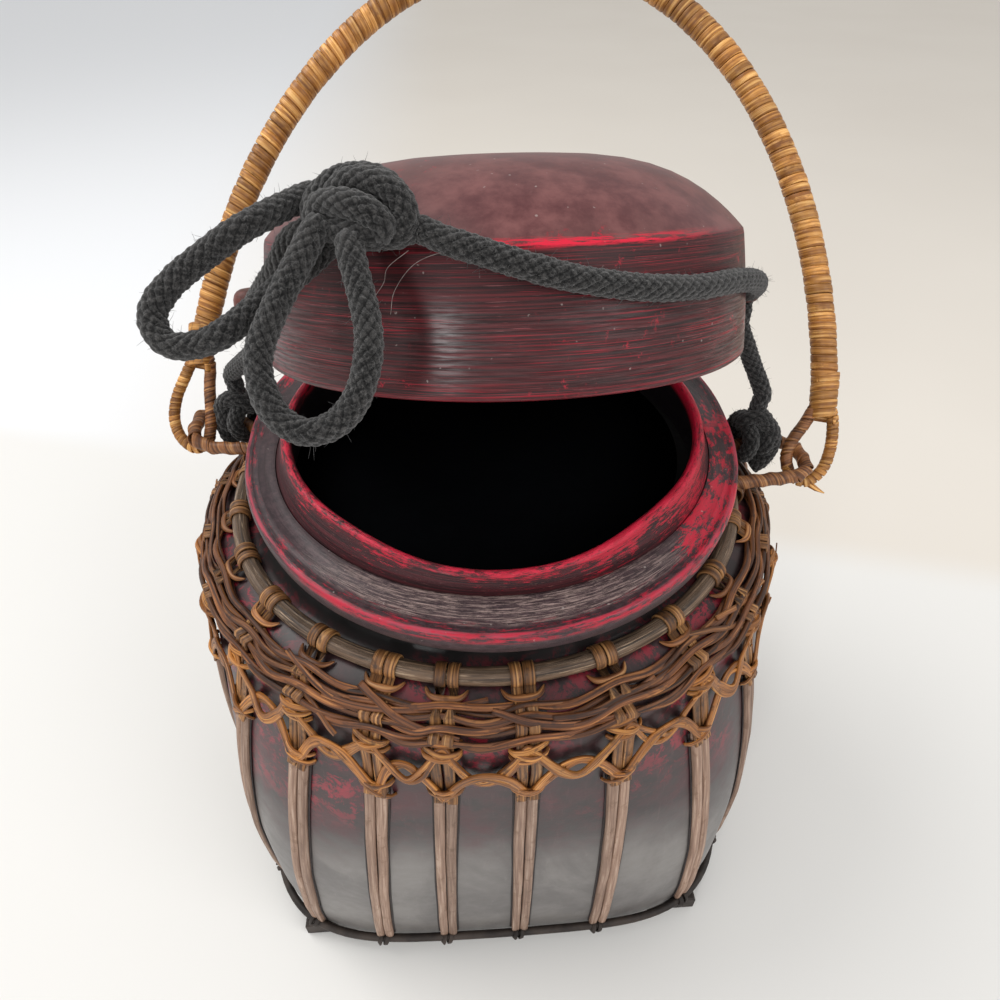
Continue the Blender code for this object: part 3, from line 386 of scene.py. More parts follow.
def lid_paint():
    """Across is the height on the wall, and goes on over the dome."""
    p = Paint("lid_lacquer")
    wall = p.span(p.across, 0.0352, 0.0335)
    brush = p.grain(18.0, 1700.0, 5.0, 0.70, 0.15)
    broad = p.noise(p.coords, 26.0, 3.0, 0.6)
    cloud = p.noise(p.coords, 95.0, 6.0, 0.68)
    side = p.mix(p.span(brush, 0.38, 0.68), (0.013, 0.004, 0.005), (0.108, 0.011, 0.015))
    side = p.mix(p.times(p.span(broad, 0.46, 0.70), 0.45), side, (0.040, 0.010, 0.012))
    top = p.mix(p.span(cloud, 0.32, 0.70), (0.088, 0.024, 0.027), (0.190, 0.072, 0.070))
    top = p.mix(p.times(p.span(broad, 0.42, 0.66), 0.5), top, (0.100, 0.042, 0.041))
    p.colour = p.mix(wall, top, side)
    streak = p.span(p.grain(30.0, 2900.0, 4.0, 0.68, 0.1), 0.545, 0.66)
    p.layer((0.360, 0.008, 0.024), wall, streak, p.span(p.grain(24.0, 130.0, 2.0), 0.36, 0.58), 0.85)
    scratch = p.span(p.grain(60.0, 3400.0, 4.0, 0.7, by_tone=40.0), 0.62, 0.70)
    p.layer((0.42, 0.14, 0.15), wall, scratch, 0.55)
    blot = p.span(p.noise(p.coords, 210.0, 7.0, 0.8), 0.58, 0.64)
    p.layer((0.42, 0.010, 0.030), blot, p.span(broad, 0.50, 0.60), 0.8)
    # the edge between wall and dome is rubbed red, mostly at the front
    ragged = p.span(p.grain(70.0, 900.0, 6.0, 0.8), 0.45, 0.53)
    middle = p.times(p.span(p.x, -0.014, 0.006), p.span(p.x, 0.068, 0.034))
    front = p.times(p.span(p.y, -0.012, -0.040), p.add(0.06, middle))
    p.layer((0.66, 0.010, 0.040), p.near(p.across, 0.0345, 0.0021, 0.0003), ragged,
            p.add(p.times(front, 0.95), 0.05))
    p.layer((0.34, 0.012, 0.028), p.span(p.across, 0.0034, 0.0008), p.span(brush, 0.50, 0.60), 0.6)
    p.dust()
    rubbed = p.span(p.grain(70.0, 1300.0, 5.0, 0.75, by_tone=30.0), 0.40, 0.62)
    gloss = p.add(0.05, p.times(p.span(p.across, 0.0270, 0.0170), rubbed, 0.55))
    height = p.add(p.times(brush, wall), p.times(cloud, 0.4))
    return p.finish(p.add(0.34, p.times(cloud, 0.22)), height, 0.00026, 0.55, 0.26, gloss, 0.26)


def flange_paint():
    """Across is 0 at the outer top edge, rises inward and falls down the rim."""
    p = Paint("flange_lacquer")
    brush = p.grain(26.0, 1500.0, 5.0, 0.70, 0.2)
    fine = p.noise(p.coords, 420.0, 6.0, 0.78)
    p.colour = p.mix(p.span(fine, 0.34, 0.66), (0.026, 0.014, 0.018), (0.070, 0.040, 0.046))
    p.layer((0.016, 0.007, 0.008), p.span(brush, 0.50, 0.62), 0.6)
    # the front carries a pale painted sheen in brush-like streaks; the sides are rubbed red
    front_sheen = p.span(p.grain(110.0, 1500.0, 7.0, 0.82, 0.5), 0.46, 0.62)
    p.layer((0.37, 0.27, 0.245), p.span(p.y, -0.050, -0.078), front_sheen, p.span(p.across, 0.0024, 0.0046), 0.92)
    right = p.times(p.span(p.x, 0.034, 0.060), p.span(p.y, 0.034, -0.006))
    left = p.times(p.span(p.x, -0.058, -0.070), p.span(p.y, 0.012, 0.030))
    sides = p.math("MINIMUM", p.add(right, p.times(left, 0.9), 0.10), 1.0)
    sides = p.add(sides, p.swing(p.noise(p.coords, 30.0, 4.0, 0.6), 1.4))
    fleck = p.add(p.grain(110.0, 330.0, 7.0, 0.82, 0.3), p.times(p.math("SUBTRACT", sides, 1.0), 0.35))
    p.layer((0.56, 0.008, 0.036), p.span(fleck, 0.50, 0.57), 0.92)
    rub = p.span(p.grain(110.0, 700.0, 7.0, 0.84), 0.53, 0.60)
    p.layer((0.52, 0.010, 0.040), rub, p.span(p.across, 0.0062, 0.0008), p.span(p.across, -0.0012, 0.0004),
            0.85)
    edge = p.span(p.math("ABSOLUTE", p.across, 0.0), 0.0010, 0.0002)
    p.layer((0.50, 0.045, 0.085), edge, p.span(p.grain(60.0, 700.0, 5.0, 0.7), 0.42, 0.54), 0.8)
    rim = p.times(p.span(p.across, -0.0034, -0.0012), p.span(p.across, 0.0012, -0.0002))
    ragged = p.span(p.grain(90.0, 520.0, 7.0, 0.82), 0.45, 0.54)
    p.layer((0.50, 0.008, 0.034), rim, p.span(p.y, -0.056, -0.076), ragged, 0.9)
    # near black low on the rim, under its edge: painted shade
    p.layer((0.012, 0.006, 0.007), p.span(p.across, -0.0060, -0.0085))
    p.dust(0.6)
    return p.finish(p.add(0.34, p.times(fine, 0.25)), p.add(brush, p.times(fine, 0.6)), 0.00030, 0.6, 0.36,
                    0.10, 0.25)


def collar_paint():
    """Across is 0 on top of the lip, negative outside and positive inside."""
    p = Paint("collar_lacquer")
    brush = p.grain(28.0, 1500.0, 5.0, 0.70, 0.2)
    fleck = p.grain(160.0, 1200.0, 7.0, 0.82, 0.3)
    p.colour = p.mix(p.span(brush, 0.38, 0.64), (0.020, 0.007, 0.009), (0.080, 0.012, 0.017))
    share = p.add(fleck, p.swing(p.noise(p.coords, 42.0, 4.0, 0.65), 0.55),
                  p.times(p.span(p.across, -0.0060, -0.0006), 0.10),
                  p.times(p.span(p.x, -0.020, 0.050), 0.11))
    p.layer((0.44, 0.008, 0.030), p.span(share, 0.63, 0.69))
    ragged = p.span(p.grain(150.0, 900.0, 7.0, 0.85), 0.46, 0.54)
    p.layer((0.64, 0.014, 0.050), p.near(p.across, 0.0003, 0.0016, 0.0004), ragged, 0.9)
    # near black down the inside of the lip: painted shade in the mouth
    p.layer((0.005, 0.003, 0.004), p.span(p.across, 0.0022, 0.0052))
    pale = p.span(p.grain(260.0, 2400.0, 5.0, 0.8), 0.60, 0.66)
    p.layer((0.46, 0.20, 0.18), p.span(p.across, 0.0040, 0.0020), pale, 0.45)
    return p.finish(p.add(0.34, p.times(brush, 0.25)), p.add(brush, p.times(fleck, 0.7)), 0.00032, 0.7, 0.34,
                    0.10, 0.25)


def cane_paint(name, dark, middle, light, fine, rough, depth, blotch, stain):
    """Long grain along a strand, with strand to strand tone and darker stains."""
    p = Paint(name)
    grain = p.grain(34.0, fine, 4.0, 0.62, 0.1, 4.0)
    hair = p.grain(70.0, 2.1 * fine, 3.0, 0.6, 0.0, 3.0)
    broad = p.grain(150.0, 240.0, 5.0, 0.70, 0.4, 2.0)
    p.colour = p.mix(p.span(grain, 0.36, 0.60), dark, middle)
    p.layer(light, p.span(grain, 0.54, 0.66), 0.85)
    p.layer(dark, p.span(hair, 0.56, 0.68), 0.45)
    p.layer(stain, p.span(broad, 0.54, 0.66), blotch)
    shade = p.add(0.46, p.times(p.tone, 0.88))
    p.colour = p.mix(1.0, p.colour, p.vector(shade, shade, shade), "MULTIPLY")
    return p.finish(p.add(rough, p.times(broad, 0.2)), p.add(grain, p.times(hair, 0.6)), depth, 0.8, 0.42)


def hoop_paint():
    p = Paint("rattan_dark")
    grain = p.grain(24.0, 1000.0, 5.0, 0.68, 0.1)
    fleck = p.grain(70.0, 1700.0, 4.0, 0.66)
    p.colour = p.mix(p.span(grain, 0.36, 0.62), (0.026, 0.015, 0.009), (0.190, 0.118, 0.072))
    p.layer((0.46, 0.33, 0.22), p.span(fleck, 0.54, 0.64), 0.85)
    p.layer((0.040, 0.024, 0.015), p.span(p.noise(p.coords, 60.0, 3.0), 0.5, 0.7), 0.45)
    return p.finish(0.45, p.add(grain, fleck), 0.0004, 0.8, 0.5)


def cord_paint(name, dark, light, groove):
    """Across is the height of a braid's strand, 0 in the groove."""
    p = Paint(name)
    fibre = p.noise(p.coords, 1500.0, 5.0, 0.80, 0.8)
    p.colour = p.mix(p.span(fibre, 0.44, 0.62), dark, light)
    p.layer(light, p.span(p.noise(p.coords, 110.0, 3.0), 0.46, 0.70), 0.25)
    # darker in the grooves between the braid's strands: painted shade
    p.layer(groove, p.math("SUBTRACT", 1.0, p.span(p.across, 0.15, 0.90)))
    return p.finish(0.92, fibre, 0.00030, 0.9, 0.15, 0.0, 0.2, 0.35)


def plain_paint(name, dark, light, scale, rough):
    p = Paint(name)
    grain = p.noise(p.coords, scale, 5.0, 0.65, 0.5)
    p.colour = p.mix(p.span(grain, 0.3, 0.7), dark, light)
    return p.finish(rough, grain, 0.0002, 0.5, 0.4)


body_mat, inside_mat, lid_mat = body_paint(), inside_paint(), lid_paint()
flange_mat, collar_mat, hoop_mat = flange_paint(), collar_paint(), hoop_paint()
cord_mat = cord_paint("cord_black", (0.006, 0.006, 0.0065), (0.072, 0.069, 0.067), (0.0022, 0.0022, 0.0025))
fuzz_mat = cord_paint("cord_fuzz", (0.05, 0.05, 0.05), (0.16, 0.155, 0.15), (0.05, 0.05, 0.05))
stray_mat = plain_paint("stray_fibre", (0.22, 0.18, 0.17), (0.40, 0.35, 0.33), 900.0, 0.7)
wood_mat = plain_paint("board_wood", (0.010, 0.007, 0.006), (0.050, 0.036, 0.029), 90.0, 0.6)
# near black strips of painted shade beside the ribs
rib_shade_mat = plain_paint("painted_rib_shade", (0.006, 0.004, 0.004), (0.030, 0.018, 0.018), 300.0, 0.6)
ear_mat = plain_paint("ear_wood", (0.040, 0.010, 0.009), (0.150, 0.040, 0.030), 160.0, 0.5)
split_mat = cane_paint("rib_split", (0.210, 0.126, 0.088), (0.345, 0.224, 0.162), (0.47, 0.34, 0.265),
                       1150.0, 0.5, 0.00026, 0.45, (0.135, 0.070, 0.036))
band_mat = cane_paint("cane_band", (0.060, 0.024, 0.010), (0.255, 0.112, 0.036), (0.47, 0.25, 0.095),
                      1350.0, 0.40, 0.00024, 0.75, (0.026, 0.014, 0.011))
gold_mat = cane_paint("cane_gold", (0.110, 0.036, 0.008), (0.370, 0.140, 0.028), (0.56, 0.265, 0.070),
                      1400.0, 0.40, 0.00022, 0.70, (0.040, 0.017, 0.008))
twine_mat = cane_paint("twined_split", (0.034, 0.012, 0.006), (0.170, 0.058, 0.018), (0.37, 0.155, 0.048),
                       1400.0, 0.46, 0.00022, 0.55, (0.022, 0.011, 0.009))
bail_mat = cane_paint("bail_cane", (0.230, 0.086, 0.017), (0.540, 0.250, 0.062), (0.80, 0.47, 0.165),
                      1000.0, 0.36, 0.00014, 0.60, (0.160, 0.055, 0.014))
lug_mat = cane_paint("lug_cane", (0.085, 0.028, 0.010), (0.330, 0.130, 0.042), (0.54, 0.28, 0.11),
                     1400.0, 0.38, 0.00018, 0.55, (0.045, 0.018, 0.009))


# Body

def body_row(position):
    """Outline row at a place, half way between a smooth curve through the rows and straight lines."""
    index = min(max(int(position), 0), LAST_ROW - 1)
    t = position - index
    b, c = BODY_OUTLINE[index], BODY_OUTLINE[index + 1]
    a = BODY_OUTLINE[index - 1] if index else 2 * b - c
    d = BODY_OUTLINE[index + 2] if index + 2 <= LAST_ROW else 2 * c - b
    row = 0.5 * spline(a, b, c, d, t) + 0.5 * (b + t * (c - b))
    row[0] += BODY_BASE
    return row


def plan_point(row, angle, wall=0.0):
    height, half, deep, power, middle = row
    c, s = np.cos(angle), np.sin(angle)
    radius = (np.abs(c / (half - wall)) ** power + np.abs(s / (deep - wall)) ** power) ** (-1.0 / power)
    return np.stack((radius * c, middle + radius * s, np.full_like(radius, height)), -1)


def skin(position, angle):
    return plan_point(body_row(position), np.array(float(angle)))


def skin_normal(position, angle):
    low, high = max(position - 0.12, 0.0), min(position + 0.12, LAST_ROW)
    along = skin(high, angle) - skin(low, angle)
    across = skin(position, angle + 0.02) - skin(position, angle - 0.02)
    return unit(np.cross(across, along))


def over_skin(places):
    """Points and outward directions for places of (angle, row of the outline, lift)."""
    outs = np.array([skin_normal(position, angle) for angle, position, _ in places])
    points = [skin(position, angle) + out * lift for (angle, position, lift), out in zip(places, outs)]
    return np.array(points), outs


PLACES = np.linspace(0, LAST_ROW, 1101)
HEIGHTS = np.array([body_row(p)[0] for p in PLACES])
BODY_TOP, NECK_RADIUS = BODY_BASE + BODY_OUTLINE[-1][0], BODY_OUTLINE[-1][1]
SHOULDER_ROW = 7
SHOULDER_Z = BODY_BASE + BODY_OUTLINE[SHOULDER_ROW][0]
BODY_WALL = 0.0035
# mean radii, which turn angles into lengths for the flow
SKIN_RADIUS, LINING_RADIUS, FLANGE_MEAN, LATHE_MEAN = 0.095, 0.09, 0.084, 0.07


def at_height(height):
    return float(np.interp(height, HEIGHTS, PLACES))


def build_body():
    angles = steps_round(192)
    rows = [body_row(p) for p in np.arange(0, LAST_ROW + 0.001, 0.125)]
    rim = [(BODY_TOP, r, r, 2.0, 0.0) for r in (NECK_RADIUS, NECK_BORE)]
    foot = [(BODY_BASE, rows[0][1] * k, rows[0][2] * k, *BODY_OUTLINE[0][3:]) for k in (0.02, 1.0)]
    soup = Soup()
    for lot in (rows, rim, foot):
        heights = np.array([row[0] for row in lot])
        soup.rings([plan_point(row, angles) for row in lot], heights[:, None], angles * SKIN_RADIUS,
                   caps=False)
    soup.make("body_skin", body_mat, "basket", ("body_shell",), "lacquer")
    soup = Soup()
    bore = NECK_BORE - 0.0001
    inner = [(BODY_TOP - 0.0001, bore, bore, 2.0, 0.0), (BODY_TOP - 0.0120, bore, bore, 2.0, 0.0),
             (SHOULDER_Z, 0.072, 0.072, 2.0, 0.0)]
    inner = [plan_point(row, angles) for row in inner]
    inner += [plan_point((row[0] - 0.003, *row[1:]), angles, BODY_WALL)
              for row in rows[8 * SHOULDER_ROW:4:-4]]
    inner.append(plan_point((BODY_BASE + 0.004, 0.02, 0.02, 2.0, 0.006), angles))
    soup.rings(inner, np.arange(len(inner))[:, None] * 0.01, angles * LINING_RADIUS)
    soup.make("body_lining", inside_mat, "basket", (), "lacquer")


build_body()


# Ribs

def rib_angles():
    """Where the ribs stand at the top and at the foot: those in view, and the rest spaced evenly."""
    angles = list(FRONT_RIBS)
    first, last = FRONT_RIBS[0], FRONT_RIBS[-1]
    spaces = RIB_COUNT - len(FRONT_RIBS) + 1
    for step in range(1, spaces):
        share = step / spaces
        angles.append(tuple(last[k] + share * (360.0 + first[k] - last[k]) for k in (0, 1)))
    return [(math.radians(top - 90.0), math.radians(low - 90.0)) for top, low in angles]


RIBS = rib_angles()
TOPS = sorted(top % TAU for top, _ in RIBS)
TOPS.append(TOPS[0] + TAU)
FOOT = 0.0142
PAIR_SHIFT, SPLIT_WIDTH, SPLIT_DEPTH = 0.00178, 0.00168, 0.0019
# strips of painted shade beside each rib: their shift from its middle, their sinking and their size
SHADE_LINE_SHIFT, SHADE_LINE_SINK, SHADE_LINE_SIZE = 0.00365, 0.0003, (0.0009, 0.00035)


def build_ribs():
    rib_shade = Soup()
    heights = np.linspace(FOOT - 0.001, RIB_TOP + 0.0012, 44)
    shares = np.minimum((heights - FOOT) / (RIB_TOP - FOOT), 1.0)
    count = len(heights)
    for k, (top, low) in enumerate(RIBS):
        soup = Soup()
        places = [(low + share * (top - low), at_height(height), 0.0004)
                  for share, height in zip(shares, heights)]
        points, outs = over_skin(places)
        side = unit(np.cross(tangents(points), outs))
        for j, s in enumerate((-1, 1)):
            seed = 100 * k + j
            place = points + (s * PAIR_SHIFT + wobble(count, 0.00008, 5, seed))[:, None] * side
            width = SPLIT_WIDTH * (1 + wobble(count, 0.025, 6, seed + 50))
            depth = SPLIT_DEPTH * (1 + wobble(count, 0.05, 7, seed + 70))
            cut = count - int(rng.integers(0, 2))
            soup.sweep(place[:cut], outs[:cut], SPLIT_PROFILE, float(rng.uniform(0.35, 0.85)),
                       scale=(width[:cut], depth[:cut]))
        soup.make(f"rib_splits_{k + 1:02d}", split_mat, "basket", (f"rib_{k + 1:02d}",), "split")
        for s in (-1, 1):
            # painted shade: a dark strip along the split, where the rib meets the body
            line = points + (s * SHADE_LINE_SHIFT + wobble(count, 0.00010, 6, 40 + k + s))[:, None] * side
            rib_shade.sweep(line - SHADE_LINE_SINK * outs, outs, FLAT_PROFILE, scale=SHADE_LINE_SIZE)
    rib_shade.make("rib_painted_shade", rib_shade_mat, "basket", (), "lacquer")


build_ribs()

# the four twined rows, as rows of the body's outline
WEAVE_ROWS = (7.36, 7.02, 6.68, 6.32)
BAND_WIDTH, BAND_THICK, BAND_LIFT, HOOK_LIFT = 0.0031, 0.0007, 0.0012, 0.0002
TWINE_WIDTHS, TWINE_THICK, LOOSE_THICK = (0.0016, 0.0021), 0.0011, 0.0008
RIB_TOP_RADIUS = 0.098
ROUND = steps_round(240)


def ring(radius, height, centre=(0.0, 0.0)):
    radius, height = np.broadcast_to(radius, ROUND.shape), np.broadcast_to(height, ROUND.shape)
    return np.stack((centre[0] + radius * np.cos(ROUND), centre[1] + radius * np.sin(ROUND), height), 1)


def round_hoop(angle, first, last, count, lift):
    """A line over the shoulder hoop, lifted off its skin by an amount that may follow the turn."""
    radial = np.array((math.cos(angle), math.sin(angle), 0.0))
    turns, outs = part_turn(radial, first, last, count)
    reach = HOOP_RADIUS + np.broadcast_to(lift(turns), turns.shape)
    return radial * HOOP_RING + UP * HOOP_Z + reach[:, None] * outs, outs


def hook_path(angle, side_shift, over):
    """A flat band from the rib's top up to the hoop and over it, passing over some of the twined rows."""
    places = []
    for height in np.linspace(RIB_TOP - 0.0035, SHOULDER_Z, 60):
        position = at_height(height)
        lift = BAND_LIFT + 0.0013 * max(0.0, RIB_TOP + 0.001 - height) / 0.0045
        lift += 0.0021 * max(math.exp(-((position - row) / 0.13) ** 2) for row in over)
        places.append((angle, position, lift))
    low, high = over_skin(places), round_hoop(angle, -25, 200, 20, lambda turns: HOOK_LIFT)
    points, outs = (np.vstack(pair) for pair in zip(low, high))
    return points + side_shift, outs


def build_bands():
    soup = Soup()
    for k, (top, _) in enumerate(RIBS):
        side = np.array((-math.sin(top), math.cos(top), 0.0))
        for s in (-1, 1):
            seed = 10 * k + s
            points, outs = hook_path(top, (s * PAIR_SHIFT + rng.normal() * 0.0001) * side,
                                     WEAVE_ROWS[k % 2::2])
            count = len(points)
            points = points + wobble(count, 0.00012, 4, 900 + seed)[:, None] * side
            width = BAND_WIDTH * (1 + wobble(count, 0.04, 4, 700 + seed))
            soup.sweep(points, outs, FLAT_PROFILE, float(rng.uniform(0.45, 1.0)), scale=(width, BAND_THICK))
    soup.make("cane_bands", band_mat, "basket", (), "split")


def build_hoop():
    soup = Soup()
    swell = 1 + 0.03 * np.sin(7 * ROUND) + 0.02 * np.sin(19 * ROUND)
    soup.tube(ring(HOOP_RING, HOOP_Z), HOOP_RADIUS * swell, 16, closed=True)
    soup.make("hoop_rattan", hoop_mat, "basket", ("shoulder_hoop",), "rattan")


build_bands()
build_hoop()


# Weave and lashings

def surface_path(stops, lift, count):
    """A strand lying over the body through (angle, row of the outline, lift) stops."""
    places = smooth_curve(stops, count)
    places[:, 2] += lift
    return over_skin(places)


def leaning(points, outs, lean):
    return unit(outs + lean * np.cross(tangents(points), outs))


def strip(soup, stops, width, thick, tone, count=6, lift=0.0008, taper=0.0, profile=FLAT_PROFILE, seed=0,
          lean=0.0):
    """A flat or round strand over the shoulder, a little uneven."""
    points, outs = surface_path(stops, lift, count)
    n = len(points)
    thin = np.sin(np.linspace(taper, math.pi - taper, n)) ** 0.6 if taper else 1.0
    wide = width * (1 + wobble(n, 0.07, max(4, n // 14), seed)) * thin
    tall = thick * (1 + wobble(n, 0.07, max(4, n // 14), seed + 1)) * thin
    soup.sweep(points, leaning(points, outs, lean), profile, tone, scale=(wide, tall))


def build_weave():
    """Pairs of splits twined round the bands, slack between them, with loose ends."""
    row_nodes = (("weave_row_1",), (), ("weave_row_2",), ("weave_row_3",))
    for r, (centre, nodes) in enumerate(zip(WEAVE_ROWS, row_nodes)):
        soup = Soup()
        for strand in (0, 1):
            side = 1 if strand else -1
            seed = 7 * r + strand
            stops = []
            for k in range(RIB_COUNT):
                a, b = TOPS[k], TOPS[k + 1]
                over = (k + strand + r) % 2 == 0
                stops.append((a, centre + rng.normal() * 0.030 + 0.025 * side, 0.0016 if over else -0.0004))
                sag = 0.12 + abs(rng.normal()) * 0.05
                turn = 0.055 * side * (1 if (k + r) % 2 else -1)
                stops.append((a + rng.uniform(0.40, 0.60) * (b - a),
                              centre - sag + turn + rng.normal() * 0.03, rng.uniform(0.0006, 0.0014)))
            stops.append((stops[0][0] + TAU, *stops[0][1:]))
            points, outs = surface_path(stops, 0.0008, 6)
            count = len(points)
            width = TWINE_WIDTHS[strand] * (1 + wobble(count, 0.07, 60, 40 + seed))
            thick = TWINE_THICK * (1 + wobble(count, 0.08, 50, 60 + seed))
            outs = leaning(points, outs, wobble(count, 0.20, 40, 80 + seed)[:, None])
            tone = np.clip((0.80 if strand else 0.30) + wobble(count, 0.22, 30, 95 + seed), 0.05, 1.0)
            profile = FLAT_PROFILE if (r + strand) % 2 else ROUND_PROFILE
            soup.sweep(points[:-1], outs[:-1], profile, tone[:-1, None], scale=(width[:-1], thick[:-1]))
        soup.make(f"twined_splits_{r + 1}", twine_mat, "basket", nodes, "twine")
    quarters = (0.0, 0.25, 0.5, 0.75, 1.0)
    soup = Soup()
    for k in range(9):
        # splits that lie over the twining and end in the open
        start = rng.uniform(0, TAU)
        reach = rng.uniform(0.25, 0.55)
        low, high = rng.uniform(6.3, 7.1), rng.uniform(6.6, 7.75)
        if k % 2:
            low, high = high, low
        stops = [(start + s * reach, low + (high - low) * s - 0.16 * math.sin(math.pi * s),
                  0.0014 + 0.0008 * math.sin(6 * s)) for s in quarters]
        strip(soup, stops, rng.uniform(0.0014, 0.0024), LOOSE_THICK, float(rng.uniform(0.25, 1.0)),
              seed=300 + k, lean=rng.normal() * 0.15)
    soup.make("loose_splits", twine_mat, "basket", (), "twine")
    soup = Soup()
    for k in range(12):
        # paler splits that cross the rows on a slant
        start = rng.uniform(0, TAU)
        reach = rng.uniform(0.10, 0.30)
        low, high = rng.uniform(5.7, 6.6), rng.uniform(6.7, 7.6)
        if rng.random() < 0.5:
            low, high = high, low
        stops = [(start + s * reach, low + (high - low) * s, 0.0013 + 0.0008 * math.sin(5 * s + k))
                 for s in quarters]
        strip(soup, stops, rng.uniform(0.0013, 0.0020), LOOSE_THICK, float(rng.uniform(0.2, 0.9)),
              seed=360 + k, lean=rng.normal() * 0.12)
    soup.make("slanted_splits", lug_mat, "basket", (), "twine")


def build_scallops():
    """Garlands and arches of cane that cross between the rib tops, lashed at every rib."""
    garland, arch, ties = Soup(), Soup(), Soup()
    for k in range(RIB_COUNT):
        a, gap = TOPS[k], TOPS[k + 1] - TOPS[k]
        high, low = 5.95 + rng.normal() * 0.08, 4.02 + rng.normal() * 0.06
        cross = 4.84 + rng.normal() * 0.10
        for lot, ends, dip, tones in ((garland, high, cross - 0.26, (0.55, 1.0)),
                                      (arch, low, cross + 0.30, (0.45, 0.95))):
            for pair in (0, 1):
                shift = (0.13 if pair else -0.10) * (1 if lot is garland else -1)
                lean = rng.normal() * 0.06
                skew = rng.normal() * 0.02
                rise = 0.0022 if (lot is arch) == bool(k % 2) else 0.0011
                half_rise = 0.5 * (0.0015 + rise)
                # shares of the gap, of the dip and of the shift, and the lift
                course = ((-0.05, 0.0, 0.0, 0.0020), (0.07, 0.04, 0.5, 0.0018),
                          (0.28 + skew, 0.70, 1.0, half_rise),
                          (0.50 + skew, 1.0, 0.5, rise), (0.72 + skew, 0.70, 1.0, half_rise),
                          (0.93, 0.04, 0.5, 0.0018), (1.05, 0.0, 0.0, 0.0020))
                stops = [(a + s * gap, ends + drop * (dip - ends) + off * shift, lift)
                         for s, drop, off, lift in course]
                strip(lot, stops, rng.uniform(0.0016, 0.0023), 0.0009, float(rng.uniform(*tones)), 6, 0.0004,
                      seed=500 + 8 * k + pair, lean=lean)
        for centre, turns, reach, spread in ((high, 3, 0.0049, 0.19), (low, 2, 0.0048, 0.13)):
            turn = reach / RIB_TOP_RADIUS
            for t in range(turns):
                tilt = rng.normal() * 0.07 + (0.05 if t % 2 else -0.04)
                middle = centre + (t - (turns - 1) / 2) * spread + rng.normal() * 0.03
                course = ((-1, 1, -0.0004), (-0.72, 0.7, 0.0014), (0, 0, 0.0024 + 0.0004 * (t % 2)),
                          (0.72, -0.7, 0.0014), (1, -1, -0.0004))
                stops = [(a + s * turn, middle + rise * tilt, lift) for s, rise, lift in course]
                strip(ties, stops, rng.uniform(0.0014, 0.0019), LOOSE_THICK, float(rng.uniform(0.35, 1.0)), 4,
                      0.0004, seed=900 + 8 * k + t)
    for k in range(12):
        # short frayed ends among the lashings
        rib = TOPS[int(rng.integers(0, RIB_COUNT))]
        side = rng.choice((-1.0, 1.0))
        first = rng.uniform(4.0, 6.2)
        reach = rng.uniform(0.04, 0.09) * side
        stops = [(rib + 0.2 * reach, first, 0.0020), (rib + 0.5 * reach, first + rng.normal() * 0.2, 0.0028),
                 (rib + reach, first + rng.normal() * 0.30, rng.uniform(0.002, 0.0036))]
        strip(ties, stops, rng.uniform(0.0006, 0.0010), 0.0004, float(rng.uniform(0.5, 1.0)), 5, 0.0004,
              seed=1300 + k)
    garland.make("scallop_garlands", gold_mat, "basket", ("scallop_row",), "cane")
    arch.make("scallop_arches", gold_mat, "basket", (), "cane")
    ties.make("rib_lashings", gold_mat, "basket", ("lashing_row",), "cane")


def build_crescents():
    """A short tapered strip that grips each tie just under the hoop."""
    soup = Soup()
    reach = 0.0060 / 0.0890
    side = ((1.0, 0.40, 0.0002), (0.78, 0.15, 0.0009), (0.5, 0.02, 0.0016))
    course = [(-s, rise, lift) for s, rise, lift in side] + [(0.0, -0.02, 0.0018), *side[::-1]]
    for k, (top, _) in enumerate(RIBS):
        low = 7.56 + rng.normal() * 0.04
        stops = [(top + s * reach, low + rise, lift) for s, rise, lift in course]
        strip(soup, stops, 0.0021, 0.0014, float(rng.uniform(0.45, 0.95)), 4, 0.0005, 0.10, ROUND_PROFILE,
              1500 + k)
    soup.make("tie_grips", lug_mat, "basket", (), "cane")


build_weave()
build_scallops()
build_crescents()

FOOT_HOOP_Z, FOOT_HOOP_RADIUS = 0.0117, 0.0016
# of the foot's lashings, kept off the board
LASHING_REACH, LASHING_SIZE, LASHING_LOW = 0.0019, (0.0018, 0.0006), 0.0095
FOOT_HOOP_ROW = at_height(FOOT_HOOP_Z)


def foot_place(angle, off):
    """A place off the body at the foot hoop's height, and the level direction outward there."""
    out = unit(skin_normal(FOOT_HOOP_ROW, angle) * (1, 1, 0))
    place = skin(FOOT_HOOP_ROW, angle) + out * (GAP + off)
    place[2] = FOOT_HOOP_Z
    return place, out


def build_foot():
    soup = Soup()
    points = [foot_place(a, 0.0019)[0] + UP * 0.0003 * math.sin(9 * a) for a in steps_round(192)]
    soup.tube(points, FOOT_HOOP_RADIUS, closed=True)
    soup.make("foot_hoop", wood_mat, "basket", ("base_hoop",), "wood_dark")
    soup = Soup()
    for _, low in RIBS:
        centre, out = foot_place(low, 0.0021)
        side = np.array((-out[1], out[0], 0.0))
        turns, outs = part_turn(out, -150, 150, 14)
        for shift in (-0.0020, 0.0004):
            line = centre + (shift + 0.0006 * np.sin(turns))[:, None] * side + LASHING_REACH * outs
            line[:, 2] = np.maximum(line[:, 2], LASHING_LOW)
            soup.sweep(line, unit(line - centre), FLAT_PROFILE, float(rng.uniform(0.1, 0.6)),
                       scale=LASHING_SIZE)
    soup.make("foot_lashings", wood_mat, "basket", (), "twine")


build_foot()

# Neck, mouth and lid

TURN = np.array(Matrix.Rotation(-LID_TILT, 3, "X") @ Matrix.Rotation(LID_TURN, 3, "Z"))
NOSE = ((1 - np.sin(ROUND)) / 2) ** 5
# the two flattened stretches beside the blunt front corner
FLANK = np.exp(-((np.abs((np.degrees(ROUND) + 270.0) % 360.0 - 180.0) - 36.0) / 17.0) ** 2)


def on_lid(points):
    return np.asarray(points, float) @ TURN.T + np.array(LID_REST_CENTRE)


